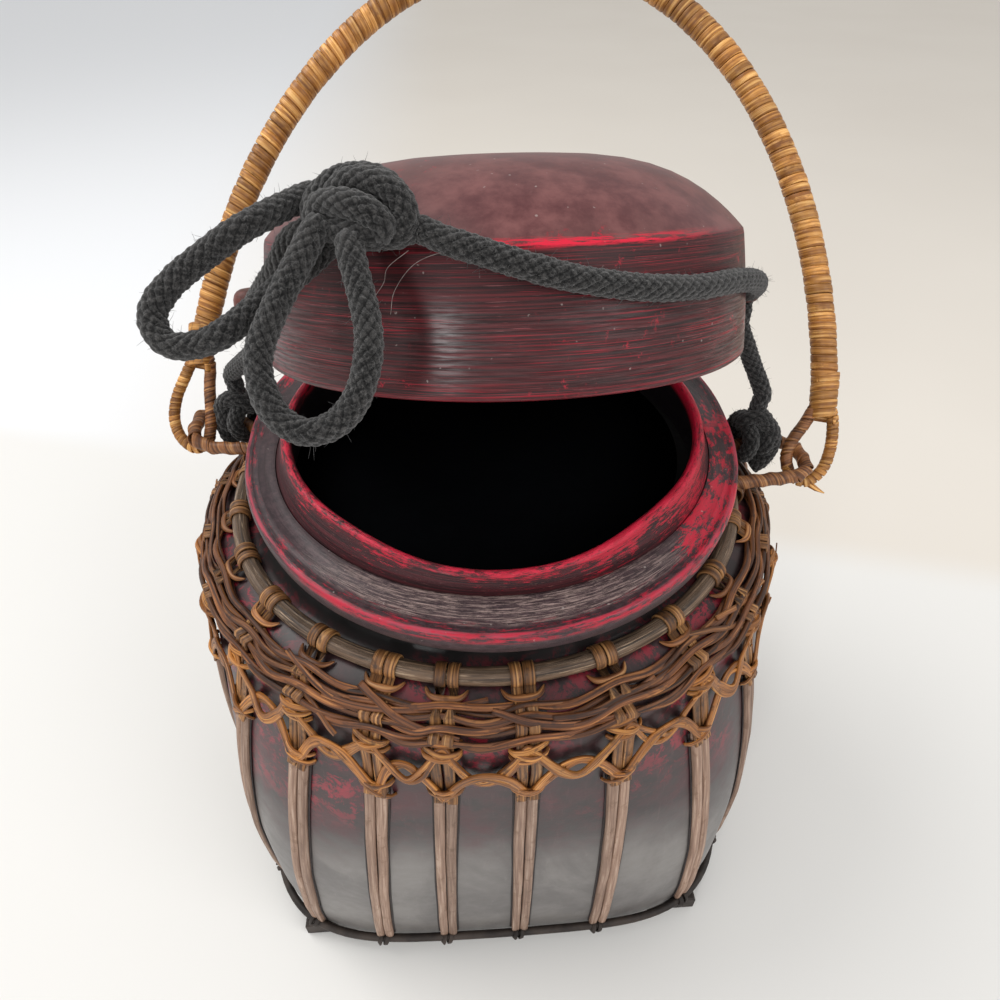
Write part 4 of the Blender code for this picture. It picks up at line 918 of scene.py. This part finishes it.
def lathe(name, rows, centres, material, nodes, slot, body="basket", around=LATHE_MEAN):
    """A turned piece. Rows are (radius, height, across)."""
    centres = np.broadcast_to(centres, (len(rows), 2))
    rings = np.array([ring(radius, height, centre) for (radius, height, _), centre in zip(rows, centres)])
    if body == "lid":
        rings = on_lid(rings)
    soup = Soup()
    soup.rings(rings, ROUND * around, np.array([row[2] for row in rows])[:, None], caps=False)
    soup.make(name, material, body, nodes, slot)


def build_flange():
    sine = np.sin(ROUND)
    narrow = 0.0062 * np.cos(ROUND) ** 2 * (1 - 0.6 * np.maximum(sine, 0))
    edge = FLANGE_RADIUS + CORNER * NOSE - narrow + 0.0045 * ((1 + sine) / 2) ** 2
    # across is 0 at the outer top edge, rising inward and falling down the rim
    rows = [(FLANGE_BORE, FLANGE_LOW, -0.020), (edge - 0.0016, FLANGE_LOW, -0.0085),
            (edge - 0.0008, FLANGE_LOW + 0.0012, -0.0070), (edge - 0.0002, FLANGE_LOW + 0.0040, -0.0040),
            (edge, FLANGE_TOP - 0.0022, -0.0022), (edge - 0.0002, FLANGE_TOP - 0.0010, -0.0010),
            (edge - 0.0008, FLANGE_TOP, 0.0), (edge - 0.0024, FLANGE_TOP - 0.0004, 0.0016),
            (edge - 0.0055, FLANGE_TOP - 0.0008, 0.0050), (0.0742, FLANGE_TOP, 0.0090),
            (FLANGE_BORE, FLANGE_TOP, 0.0140)]
    centres = [NECK_CENTRE] + 8 * [FLANGE_CENTRE] + 2 * [NECK_CENTRE]
    lathe("flange_disc", rows, centres, flange_mat, ("neck_flange",), "lacquer_lid", around=FLANGE_MEAN)


def build_collar():
    top = FLANGE_TOP + COLLAR_HEIGHT
    socket = FLANGE_BORE - GAP
    outer = COLLAR_RADIUS + CORNER * NOSE
    inner = COLLAR_RADIUS - COLLAR_TAPER - COLLAR_WALL + 1.3 * CORNER * NOSE
    # the top rings dip at the blunt front corner
    dip = COLLAR_DIP * NOSE
    spread = 0.00085 * NOSE - 0.0018 * FLANK
    lip = ((outer - COLLAR_TAPER + 0.0004, 0.0010, -0.0010), (outer - COLLAR_TAPER, 0.0003, -0.0004),
           (outer - COLLAR_TAPER - 0.0007, 0.0, 0.0), (inner + 0.0009, 0.0, 0.0012),
           (inner + 0.0003, 0.0004, 0.0018), (inner, 0.0012, 0.0026))
    rows = [(socket - 0.0040, FLANGE_LOW, -0.03), (socket, FLANGE_LOW, -0.02), (socket, FLANGE_TOP, -0.0105),
            (outer, FLANGE_TOP + 0.0006, -0.0090),
            (outer - 0.4 * COLLAR_TAPER + 0.4 * spread, FLANGE_TOP + 0.0045 - 0.4 * dip, -0.0050)]
    rows += [(radius + spread, top - drop - dip, across) for radius, drop, across in lip]
    rows.append((socket - 0.0042, FLANGE_LOW, 0.019))
    lathe("collar_ring", rows, NECK_CENTRE, collar_mat, ("mouth_collar",), "lacquer_red")


def wall_radius(height):
    return LID_RADIUS + (LID_TOP_RADIUS - LID_RADIUS) * height / LID_WALL_HEIGHT


def dome(radius, edge):
    return LID_DOME_HEIGHT * (1 - (radius / edge) ** LID_DOME_POWER)


def build_lid():
    rows = [(LID_RIM, 0.0, -0.001), (LID_RADIUS - 0.0001, 0.0005, 0.0005)]
    for h in np.linspace(0.0012, LID_WALL_HEIGHT - 0.0010, 12):
        # the turned wall swells a little between its two edges
        rows.append((wall_radius(h) + 0.0005 * math.sin(math.pi * h / LID_WALL_HEIGHT), h, h))
    run = LID_WALL_HEIGHT + 0.0003
    rows.append((LID_TOP_RADIUS - 0.0002, LID_WALL_HEIGHT + 0.0002, run))
    for r in (0.0695, 0.0688, 0.0675, 0.0655, 0.0625, 0.0585, 0.0540, 0.0490, 0.0430, 0.0360, 0.0280, 0.0200,
              0.0120, 0.0060, 0.00002):
        z = LID_WALL_HEIGHT + dome(r, LID_TOP_RADIUS)
        run += math.hypot(rows[-1][0] - r, rows[-1][1] - z)
        rows.append((r, z, run))
    lathe("lid_outside", rows, (0.0, 0.0), lid_mat, ("lid_shell",), "lacquer_lid", "lid")
    under, top = LID_TOP_RADIUS - LID_WALL, LID_WALL_HEIGHT - LID_WALL
    rows = [(r, top + dome(r, under), 0.03) for r in (0.001, 0.014, 0.028, 0.040, 0.050, 0.058, 0.063, 0.066)]
    rows += [(under, top, 0.02), (LID_RADIUS - LID_WALL, 0.0, 0.01), (LID_RIM, 0.0, 0.0)]
    lathe("lid_inside", rows, (0.0, 0.0), collar_mat, (), "lacquer_red", "lid")


def build_ears():
    turns = np.radians(np.linspace(85, -85, 17))
    middle, tall = (EAR_LOW + EAR_HIGH) / 2, (EAR_HIGH - EAR_LOW) / 2
    for sign, name in ((1, "right"), (-1, "left")):
        rings = []
        for share in (-1.0, -0.97, -0.88, -0.70, -0.40, 0.0, 0.40, 0.70, 0.88, 0.97, 1.0):
            inset = 0.0030 * (1 - math.sqrt(max(0.0, 1 - abs(share) ** 3)))
            height = middle + share * tall
            wall, half = wall_radius(height) - 0.0004, EAR_WIDTH / 2 - inset
            reach = EAR_REACH - inset - 0.6 * half
            outline = [(wall, y) for y in np.linspace(-half, half, 7)]
            outline += [(reach + 0.6 * half * math.cos(a), half * math.sin(a)) for a in turns]
            rings.append([(sign * x, y, height) for x, y in outline])
        rings = on_lid(rings)[:, ::sign]
        soup = Soup()
        soup.rings(rings, np.linspace(0, 0.01, 11)[:, None], np.linspace(0, 0.04, 24))
        soup.make(f"ear_{name}", ear_mat, "lid", (f"lid_ear_{name}",), "wood_dark")


build_flange()
build_collar()
build_lid()
build_ears()

# Lugs and handle

EYE_RIGHT = ((0.0059, 0.0190), (0.0088, 0.0164), (0.0099, 0.0114), (0.0098, 0.0034), (0.0076, -0.0041),
             (0.0025, -0.0084), (-0.0027, -0.0064), (-0.0048, -0.0006), (-0.0034, 0.0054), (0.0002, 0.0114),
             (0.0029, 0.0166))
EYE_LEFT = ((-0.0014, 0.0269), (0.0017, 0.0240), (0.0046, 0.0179), (0.0078, 0.0099), (0.0086, 0.0019),
            (0.0060, -0.0046), (0.0008, -0.0082), (-0.0036, -0.0062), (-0.0049, -0.0010), (-0.0050, 0.0059),
            (-0.0045, 0.0139), (-0.0044, 0.0229))
CUT_END = ((0.0030, -0.0088), (0.0062, -0.0108), (0.0092, -0.0122))


def pin(plan, rise):
    return np.array(((plan[4][0] + plan[5][0]) / 2, (plan[4][1] + plan[5][1]) / 2, LUG_Z + rise))


PIN_LEFT, PIN_RIGHT = pin(LUG_LEFT, LUG_RISE_LEFT), pin(LUG_RIGHT, LUG_RISE_RIGHT)
BAIL_ALONG = unit(PIN_RIGHT - PIN_LEFT)
BAIL_BACK = unit(np.cross(UP, BAIL_ALONG))
BAIL_UP = math.cos(HANDLE_LEAN) * unit(np.cross(BAIL_ALONG, BAIL_BACK)) + math.sin(HANDLE_LEAN) * BAIL_BACK
BAIL_SHARE = (HANDLE_MIDDLE_X - PIN_LEFT[0]) / (PIN_RIGHT[0] - PIN_LEFT[0])
BAIL_MIDDLE = PIN_LEFT + BAIL_SHARE * (PIN_RIGHT - PIN_LEFT)
ROD_RADIUS, EYE_CORE, LUG_CORE = 0.0034, 0.0015, 0.0016
EYE_WINDING, LUG_WINDING, CANE_THICK = 0.00148, 0.00158, 0.00052


def on_bail(along, up, start=BAIL_MIDDLE):
    return start + along * BAIL_ALONG + up * BAIL_UP


def ribbon(soup, path, radius, pitch, width, thick, tone, step, turn, jitter, seed, hand=1):
    """A flat strip wound round a path. The pitch may be a function of the share along it."""
    path = resample(path, 0.0005)
    outs = carried(path)
    lengths = arc(path)
    pitches = np.array([pitch(s) if callable(pitch) else pitch for s in lengths / lengths[-1]])
    phase = np.concatenate(([0.0], np.cumsum(np.diff(lengths) / pitches[1:])))
    want = np.linspace(0, phase[-1], int(phase[-1] * step))
    where = np.interp(want, phase, lengths)
    centre, n, b = (sample(where, lengths, values) for values in (path, outs, np.cross(tangents(path), outs)))
    angle = hand * TAU * want + turn
    out = np.cos(angle)[:, None] * n + np.sin(angle)[:, None] * b
    r = np.random.default_rng(seed)
    turns = np.arange(int(phase[-1]) + 2)
    lift = jitter * np.interp(want, turns, r.normal(size=len(turns)))
    wide = np.minimum(width, np.interp(want, phase, pitches) * 0.97)
    wide = wide * (1 + 0.03 * np.interp(want, turns, r.normal(size=len(turns))))
    tones = np.interp(want, turns, r.uniform(*tone, size=len(turns)))
    soup.sweep(centre + (radius + lift)[:, None] * out, out, FLAT_PROFILE, tones[:, None],
               scale=(wide, thick))


def winding_pitch(share):
    return 0.0022 + 0.0009 * min(1.0, share / 0.07)


def build_handle():
    first, last = (math.asin((eye[0][1] + 0.0028) / HANDLE_HEIGHT) for eye in (EYE_RIGHT, EYE_LEFT))
    rod = np.array([on_bail(HANDLE_SPAN * math.cos(t) + HANDLE_SKEW * HANDLE_HEIGHT * math.sin(t),
                            HANDLE_HEIGHT * math.sin(t)) for t in np.linspace(first, math.pi - last, 500)])
    soup = Soup()
    soup.tube(resample(rod, 0.003), ROD_RADIUS, 12, 0.2)
    soup.make("bail_rod", bail_mat, "handle", ("handle_core",), "cane")
    soup = Soup()
    ribbon(soup, rod, ROD_RADIUS, winding_pitch, 0.0031, 0.00090, (0.25, 1.0), 22, 0.0, 0.00008, 5, -1)
    soup.make("bail_winding", bail_mat, "handle", ("handle_wrap",), "cane")
    for node, outline, start, sign in (("handle_eye_right", EYE_RIGHT, PIN_RIGHT, 1),
                                       ("handle_eye_left", EYE_LEFT, PIN_LEFT, -1)):
        soup, rough = Soup(), Soup()
        path = smooth_curve([on_bail(sign * u, v, start) for u, v in outline], 10, closed=True)
        path = np.vstack((path, path[:1]))
        soup.tube(resample(path, 0.001)[:-1], EYE_CORE, 10, 0.3, closed=True)
        half = len(path) // 2
        ribbon(soup, path[:half + 12], EYE_WINDING, 0.0021, 0.0020, CANE_THICK, (0.3, 0.9), 20, 0.3, 0.00003,
               11)
        ribbon(rough, path[half + 8:], EYE_WINDING, 0.0044, 0.0040, CANE_THICK, (0.2, 0.8), 24, 1.3, 0.00003,
               12)
        # the split, bound by a few crossing turns
        neck = np.linspace(path[0] - 0.006 * BAIL_UP, path[0] + 0.010 * BAIL_UP, 30)
        ribbon(soup, neck, 0.0038, 0.0030, 0.0030, 0.0007, (0.3, 0.9), 22, 0.6, 0.0001, 13)
        if sign > 0:
            # the winding's cut end
            soup.tube([on_bail(u, v, start) for u, v in CUT_END], (0.0013, 0.0009, 0.0002), 8, 0.9)
        soup.make(f"{node}_fine", bail_mat, "handle", (node,), "cane")
        rough.make(f"{node}_rough", lug_mat, "handle", (), "cane")


def tie_lift(turns):
    return 0.0005 + 0.0018 * np.maximum(0.0, np.sin(turns))


def build_lugs():
    for node, plan, rise in (("lug_right", LUG_RIGHT, LUG_RISE_RIGHT), ("lug_left", LUG_LEFT, LUG_RISE_LEFT)):
        path = smooth_curve([(x, y, LUG_Z + share * rise) for (x, y), share in zip(plan, LUG_RISE_SHARES)],
                            10)
        soup, ends = Soup(), Soup()
        soup.tube(resample(path, 0.001), LUG_CORE, 10, 0.3)
        ribbon(soup, path, LUG_WINDING, 0.0062, 0.0058, CANE_THICK, (0.25, 0.8), 26, 0.4, 0.00003, 21)
        # both ends run on into the weave and are tied to the hoop
        for k in (0, -1):
            for s in (-1, 0, 1):
                angle = math.atan2(path[k][1], path[k][0]) + s * 0.016
                line, outs = round_hoop(angle, -60, 240, 22, tie_lift)
                ends.sweep(line, outs, FLAT_PROFILE, float(rng.uniform(0.3, 0.8)), scale=(0.0014, 0.0007))
        soup.make(f"{node}_cane", lug_mat, "basket", (node,), "cane")
        ends.make(f"{node}_ties", band_mat, "basket", (), "cane")


build_handle()
build_lugs()

# Cords

BRAID_SIDES, BRAID_LAY, BRAID_CARRIERS = 56, 0.0230, 8
FUZZ_PER_METRE, FUZZ_RADIUS, STRAY_RADIUS = 4000.0, 0.00005, 0.00006
BOW_CORD_RADIUS, LUG_CORD_RADIUS = 0.0031, 0.0029


def braid(soup, points, radius=CORD_RADIUS, phase=0.0):
    """A round braid of two sets of strands, each going over and under the other."""
    path = resample(points, 0.00036)
    n = carried(path)
    b = np.cross(tangents(path), n)
    lengths = arc(path)
    turn = np.arange(BRAID_SIDES) / BRAID_SIDES
    run = lengths[:, None] / BRAID_LAY
    one, two = BRAID_CARRIERS * (turn + run) + phase, BRAID_CARRIERS * (turn - run) + phase
    over = (np.floor(one) + np.floor(two)) % 2 < 1
    across, down = np.where(over, one, two) % 1.0, np.where(over, two, one) % 1.0
    bulge = np.sin(math.pi * across) ** 0.55 * (0.45 + 0.55 * np.sin(math.pi * down) ** 0.5)
    places = np.arange(0, lengths[-1] + 0.004, 0.003)
    soft = 1 + 0.02 * np.interp(lengths, places, np.random.default_rng(len(path)).normal(size=len(places)))
    size = radius * soft[:, None] * (0.80 + 0.24 * bulge)
    angle = TAU * turn[:, None]
    rings = path[:, None] + size[..., None] * (np.cos(angle) * n[:, None] + np.sin(angle) * b[:, None])
    soup.rings(rings, lengths[:, None], bulge, down, flip=True)
    return path


def cord_piece(node, points, body, blend=None):
    soup = Soup()
    path = braid(soup, points)
    obj = soup.make(f"{node}_braid", cord_mat, body, (node,), "cord")
    if blend:
        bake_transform(obj)
    line = path[::6]
    if not np.allclose(line[-1], path[-1]):
        line = np.vstack((line, path[-1:]))
    return path


def fuzz(name, paths, body, seed=3, blend=None):
    r = np.random.default_rng(seed)
    soup = Soup()
    for path in paths:
        tangent, n = tangents(path), carried(path)
        b = np.cross(tangent, n)
        for _ in range(int(arc(path)[-1] * FUZZ_PER_METRE)):
            k = int(r.integers(1, len(path) - 1))
            a = r.uniform(0, TAU)
            out = math.cos(a) * n[k] + math.sin(a) * b[k]
            start = path[k] + out * CORD_RADIUS * 0.90
            way = unit(0.5 * out + r.normal(size=3) * 0.55 + tangent[k] * r.normal() * 0.8)
            long = r.uniform(0.0006, 0.0017)
            bend = r.normal(size=3) * long * 0.45
            line = [start + way * long * t + bend * t * t + out * 0.25 * long * t
                    for t in (0, 0.35, 0.7, 1.0)]
            soup.tube(line, np.array((1.0, 0.9, 0.7, 0.35)) * FUZZ_RADIUS, 3)
    obj = soup.make(name, fuzz_mat, body)
    if blend:
        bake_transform(obj)


def lid_point(degrees, radius, height):
    angle = math.radians(degrees)
    return on_lid((radius * math.sin(angle), -radius * math.cos(angle), height))


KNOT_RING = (0.0736, 0.0412)
KNOT = lid_point(-30.0, *KNOT_RING)
KNOT_ALONG = unit(lid_point(60.0, *KNOT_RING) - lid_point(-120.0, *KNOT_RING))
KNOT_UP = TURN[:, 2]
KNOT_OUT = unit(np.cross(KNOT_ALONG, KNOT_UP))
KNOT_AXES = np.array((KNOT_ALONG, KNOT_OUT, KNOT_UP))
KNOT_SIZE = np.array((0.0125, 0.0075, 0.0075))
WALL_REACH = CORD_RADIUS + GAP + 0.0002
LEAD = 0.0040
# degrees round the lid from its front, and height
FRONT_RIGHT = ((70.0, 0.0178), (58.0, 0.0208), (45.0, 0.0226), (33.0, 0.0228), (20.0, 0.0240), (8.0, 0.0266),
               (-1.0, 0.0297), (-9.0, 0.0330), (-15.0, 0.0354), (-19.5, 0.0376))
FRONT_LEFT = ((-70.0, 0.0185), (-60.0, 0.0240), (-53.0, 0.0300), (-47.5, 0.0360))
LOOP_LEFT = ((-0.0505, -0.0405, 0.2893), (-0.0596, -0.0441, 0.2847), (-0.0673, -0.0478, 0.2800),
             (-0.0713, -0.0518, 0.2753), (-0.0689, -0.0558, 0.2710), (-0.0626, -0.0566, 0.2705),
             (-0.0539, -0.0543, 0.2736))
LOOP_FRONT = ((-0.0455, -0.0578, 0.2763), (-0.0483, -0.0638, 0.2694), (-0.0459, -0.0701, 0.2625),
              (-0.0393, -0.0735, 0.2590), (-0.0320, -0.0723, 0.2608), (-0.0272, -0.0678, 0.2662),
              (-0.0254, -0.0604, 0.2746))
# degrees round the lid, height, and distance off it
STRAYS = (((-8.0, 0.0325, 0.0075), (-13.0, 0.0335, 0.0090), (-20.0, 0.0310, 0.0070), (-25.0, 0.0250, 0.0030),
           (-26.5, 0.0195, 0.0010)),
          ((-30.0, 0.0230, 0.0006), (-27.0, 0.0265, 0.0040), (-25.0, 0.0300, 0.0090),
           (-21.0, 0.0335, 0.0100)),
          ((24.0, 0.0095, 0.0004), (20.0, 0.0125, 0.0004), (13.0, 0.0150, 0.0005), (9.0, 0.0150, 0.0004)))
# millimetres along, out and up from the middle of the knot
BOW_WRAPS = (
    ((-10.0, 0.0, -4.5), (-11.5, 1.0, 0.5), (-7.0, 0.0, 5.4), (-1.0, -1.5, 7.0), (5.0, -2.5, 5.6),
     (8.5, -3.0, 1.5), (7.0, -3.0, -2.5)),
    ((-6.0, 1.0, 0.0), (-3.5, 2.0, 4.4), (2.0, 2.2, 6.2), (8.0, 1.6, 4.8), (11.6, 0.8, 0.5),
     (10.2, 1.2, -4.2), (5.0, 2.0, -4.5)),
    ((-7.0, 2.0, -4.0), (-8.2, 4.6, -1.2), (-4.6, 6.6, 1.6), (1.0, 7.3, 2.0), (6.2, 6.4, 0.4),
     (8.6, 4.6, -2.8), (5.0, 3.0, -4.5)),
    ((-3.0, 3.0, 2.0), (-4.8, 5.4, -1.8), (-0.5, 6.6, -3.6), (4.4, 5.6, -4.2), (6.5, 3.0, -4.8)))
LUG_WRAPS = (
    ((-3.6, 0.0, -8.0), (-3.8, 5.0, -4.5), (-3.4, 6.2, 1.5), (-3.0, 0.0, 6.6), (-2.6, -6.2, 1.5),
     (-2.8, -5.4, -4.5),
     (-1.0, 0.0, -8.0), (1.5, 5.4, -4.5), (2.6, 6.4, 1.5), (3.2, 0.0, 6.6), (3.4, -6.2, 1.5),
     (3.0, -4.6, -5.0), (3.0, 0.0, -8.0)),
    ((-4.6, 1.5, 4.0), (-3.5, -1.5, 8.0), (0.5, -3.4, 8.8), (4.6, -5.2, 4.5), (5.4, -6.0, -1.5),
     (3.0, -6.8, -6.5), (0.0, -6.4, -9.5)))


def knot_point(along, out, up):
    return KNOT + 0.001 * np.array((along, out, up)) @ KNOT_AXES


def leave(direction):
    """Where a cord comes out of the bow's knot, and its first straight stretch."""
    way = unit(direction)
    surface = way / np.linalg.norm(way / KNOT_SIZE)
    square = unit(surface / KNOT_SIZE ** 2)
    start = KNOT + (surface + square * GAP) @ KNOT_AXES
    lead = square @ KNOT_AXES * LEAD
    return [start, start + lead / 2, start + lead]


def build_lid_cords():
    fuzzy = []
    height = (EAR_LOW + EAR_HIGH) / 2
    lead = TURN @ np.array((0.0, -LEAD, 0.0))
    for node, sign, route, end in (("front_cord_right", 1, FRONT_RIGHT, (10.5, 1.5, -4.0)),
                                   ("front_cord_left", -1, FRONT_LEFT, (-9.0, -2.0, -2.5))):
        start = on_lid((sign * (wall_radius(height) + WALL_REACH), -(EAR_WIDTH / 2 + GAP + 0.0002), height))
        points = [start - 0.75 * lead, start, start + lead / 2, start + lead]
        points += [lid_point(d, wall_radius(h) + WALL_REACH, h) for d, h in route]
        fuzzy.append(cord_piece(node, smooth_curve(points + [knot_point(*end)], 8), "lid"))
    for node, ends, route, tuck in (
            ("bow_loop_left", ((-1.0, -0.10, 0.15), (-0.95, 0.10, -0.55)), LOOP_LEFT,
             ((-5, -1, 3), (-5, 1, -2))),
            ("bow_loop_front", ((-0.50, 0.85, -0.30), (0.35, 0.80, -0.60)), LOOP_FRONT,
             ((-2, 2, -1), (1.5, 2, -2)))):
        points = [knot_point(*tuck[0]), *leave(ends[0]), *route, *leave(ends[1])[::-1], knot_point(*tuck[1])]
        fuzzy.append(cord_piece(node, smooth_curve(points, 8), "lid"))
    soup = Soup()
    for k, wrap in enumerate(BOW_WRAPS):
        fuzzy.append(braid(soup, smooth_curve([knot_point(*q) for q in wrap], 8), BOW_CORD_RADIUS, 0.3 * k))
    # a plain core that closes the gaps between the wraps
    blob = [[knot_point(9.0 * math.sin(t), 4.6 * math.cos(t) * math.cos(a), 4.6 * math.cos(t) * math.sin(a))
             for a in steps_round(16)] for t in np.radians(np.linspace(-80, 80, 9))]
    soup.rings(blob, np.linspace(0, 0.02, 9)[:, None], 0.0, 0.2)
    soup.make("bow_knot_wraps", cord_mat, "lid", ("bow_knot",), "cord")
    fuzz("bow_fuzz", fuzzy, "lid")
    soup = Soup()
    for line in STRAYS:
        places = [lid_point(d, wall_radius(h) + 0.5 * out, h) for d, h, out in line]
        soup.tube(smooth_curve(places, 8), STRAY_RADIUS, 4, 0.9)
    soup.make("stray_fibres", stray_mat, "lid")


def far_leg(plan, x):
    """The far leg of a lug, at a place from side to side."""
    for first, second in zip(plan[5:], plan[6:]):
        if min(first[0], second[0]) <= x <= max(first[0], second[0]):
            share = (x - first[0]) / (second[0] - first[0])
            return np.array((x, first[1] + share * (second[1] - first[1]), LUG_Z))
    return np.array((x, plan[-1][1], LUG_Z))


def build_side_cords():
    for name, sign, plan, x in (("right", 1, LUG_RIGHT, 0.0950), ("left", -1, LUG_LEFT, -0.0893)):
        first, last = (far_leg(plan, x + s * 0.00575) for s in (-1, 1))
        axis = unit(last - first)
        side = unit(np.cross(UP, axis))
        up = np.cross(axis, side)
        middle = (first + last) / 2 + 0.0036 * (up + 0.4 * side)
        top = middle + UP * (0.0092 + GAP + 0.0001)
        ear = on_lid((sign * (LID_RADIUS + EAR_REACH) / 2, 0.0, EAR_LOW - GAP))
        down = TURN @ -UP
        below, arrive = ear + down * LEAD, top + UP * LEAD
        route = [ear - down * 0.006, ear, below, below + down * LEAD, (below + arrive) / 2,
                 arrive + UP * LEAD, arrive, top, top - UP * 0.005]
        blend = ("basket", "lid", tuple(top), tuple(ear))
        path = cord_piece(f"side_cord_{name}", smooth_curve(route, 8), None, blend)
        fuzz(f"side_fuzz_{name}", [path], None, 8 if sign > 0 else 9, blend)
        axes = np.array((sign * axis, side, up))
        soup = Soup()
        paths = [braid(soup, smooth_curve(middle + 0.001 * np.array(wrap) @ axes, 8), LUG_CORD_RADIUS,
                       0.4 * k)
                 for k, wrap in enumerate(LUG_WRAPS)]
        soup.make(f"knot_{name}_wraps", cord_mat, "basket", (f"knot_{name}",), "cord")
        fuzz(f"knot_fuzz_{name}", paths, "basket", 12)


build_lid_cords()
build_side_cords()
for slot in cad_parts["base_plate"].material_slots:
    slot.material = wood_mat


# Stage

FLOOR_HALF, PAPER_SLANT, PAPER_EDGE = 6.0, 0.30, (0.175, 0.215)
SKY_COLOUR, SKY_STRENGTH = (1.0, 0.99, 0.975, 1.0), 0.72
# the camera's yaw, pitch and roll in degrees
CAMERA_TURNS, CAMERA_PLACE = (3.24, 41.73, -0.42), (-0.0062, -0.1955, 0.3469)
SENSOR_WIDTH, LENS = 36.0, 25.92


def placed(name, data):
    obj = bpy.data.objects.new(name, data)
    bpy.context.scene.collection.objects.link(obj)
    return obj


def lamp(name, place, aim, size, power, colour):
    data = bpy.data.lights.new(name, "AREA")
    data.shape = "DISK"
    data.size = size
    data.energy = power
    data.color = colour
    obj = placed(name, data)
    obj.location = place
    obj.rotation_euler = (Vector(aim) - Vector(place)).to_track_quat("-Z", "Y").to_euler()


def build_stage():
    mesh = bpy.data.meshes.new("floor")
    corners = [(x * FLOOR_HALF, y * FLOOR_HALF, 0) for x, y in ((-1, -1), (1, -1), (1, 1), (-1, 1))]
    mesh.from_pydata(corners, [], [(0, 1, 2, 3)])
    p = Paint("floor_paper")
    # white paper in front, a warmer grey behind a slanting line
    far = p.span(p.add(p.y, p.times(p.x, PAPER_SLANT)), *PAPER_EDGE)
    soft = p.noise(p.coords, 3.0, 2.0)
    white = p.mix(soft, (0.79, 0.785, 0.765), (0.83, 0.825, 0.81))
    grey = p.mix(soft, (0.75, 0.705, 0.645), (0.80, 0.76, 0.70))
    grey = p.mix(p.span(p.x, 0.0, -0.40), grey, (0.86, 0.88, 0.91))
    p.colour = p.mix(far, white, grey)
    mesh.materials.append(p.finish(0.9, specular=0.1))
    placed("floor", mesh)

    world = bpy.data.worlds.new("studio")
    bpy.context.scene.world = world
    world.use_nodes = True
    back = world.node_tree.nodes["Background"]
    back.inputs["Color"].default_value = SKY_COLOUR
    back.inputs["Strength"].default_value = SKY_STRENGTH
    lamp("key", (-0.70, 0.25, 1.25), (0.0, 0.0, 0.15), 0.8, 8.0, (1.0, 0.985, 0.96))
    lamp("fill", (0.85, -0.75, 0.95), (0.0, 0.0, 0.12), 0.9, 5.0, (1.0, 0.99, 0.98))
    lamp("window", (-0.64, -1.13, 0.61), (0.0, -0.05, 0.24), 0.24, 3.4, (1.0, 1.0, 1.0))


def build_camera():
    yaw, pitch, roll = (math.radians(v) for v in CAMERA_TURNS)
    forward = np.array((math.sin(yaw) * math.cos(pitch), math.cos(yaw) * math.cos(pitch), -math.sin(pitch)))
    right = np.array((math.cos(yaw), -math.sin(yaw), 0.0))
    up = np.cross(right, forward)
    right, up = math.cos(roll) * right + math.sin(roll) * up, -math.sin(roll) * right + math.cos(roll) * up
    data = bpy.data.cameras.new("photo_camera")
    data.sensor_fit = "HORIZONTAL"
    data.sensor_width = SENSOR_WIDTH
    data.lens = LENS
    data.clip_start = 0.01
    obj = placed("photo_camera", data)
    turn = Matrix((right, up, -forward)).transposed().to_4x4()
    obj.matrix_world = Matrix.Translation(Vector(CAMERA_PLACE)) @ turn
    bpy.context.scene.camera = obj


build_stage()
build_camera()
bpy.context.scene.view_settings.view_transform = "Standard"
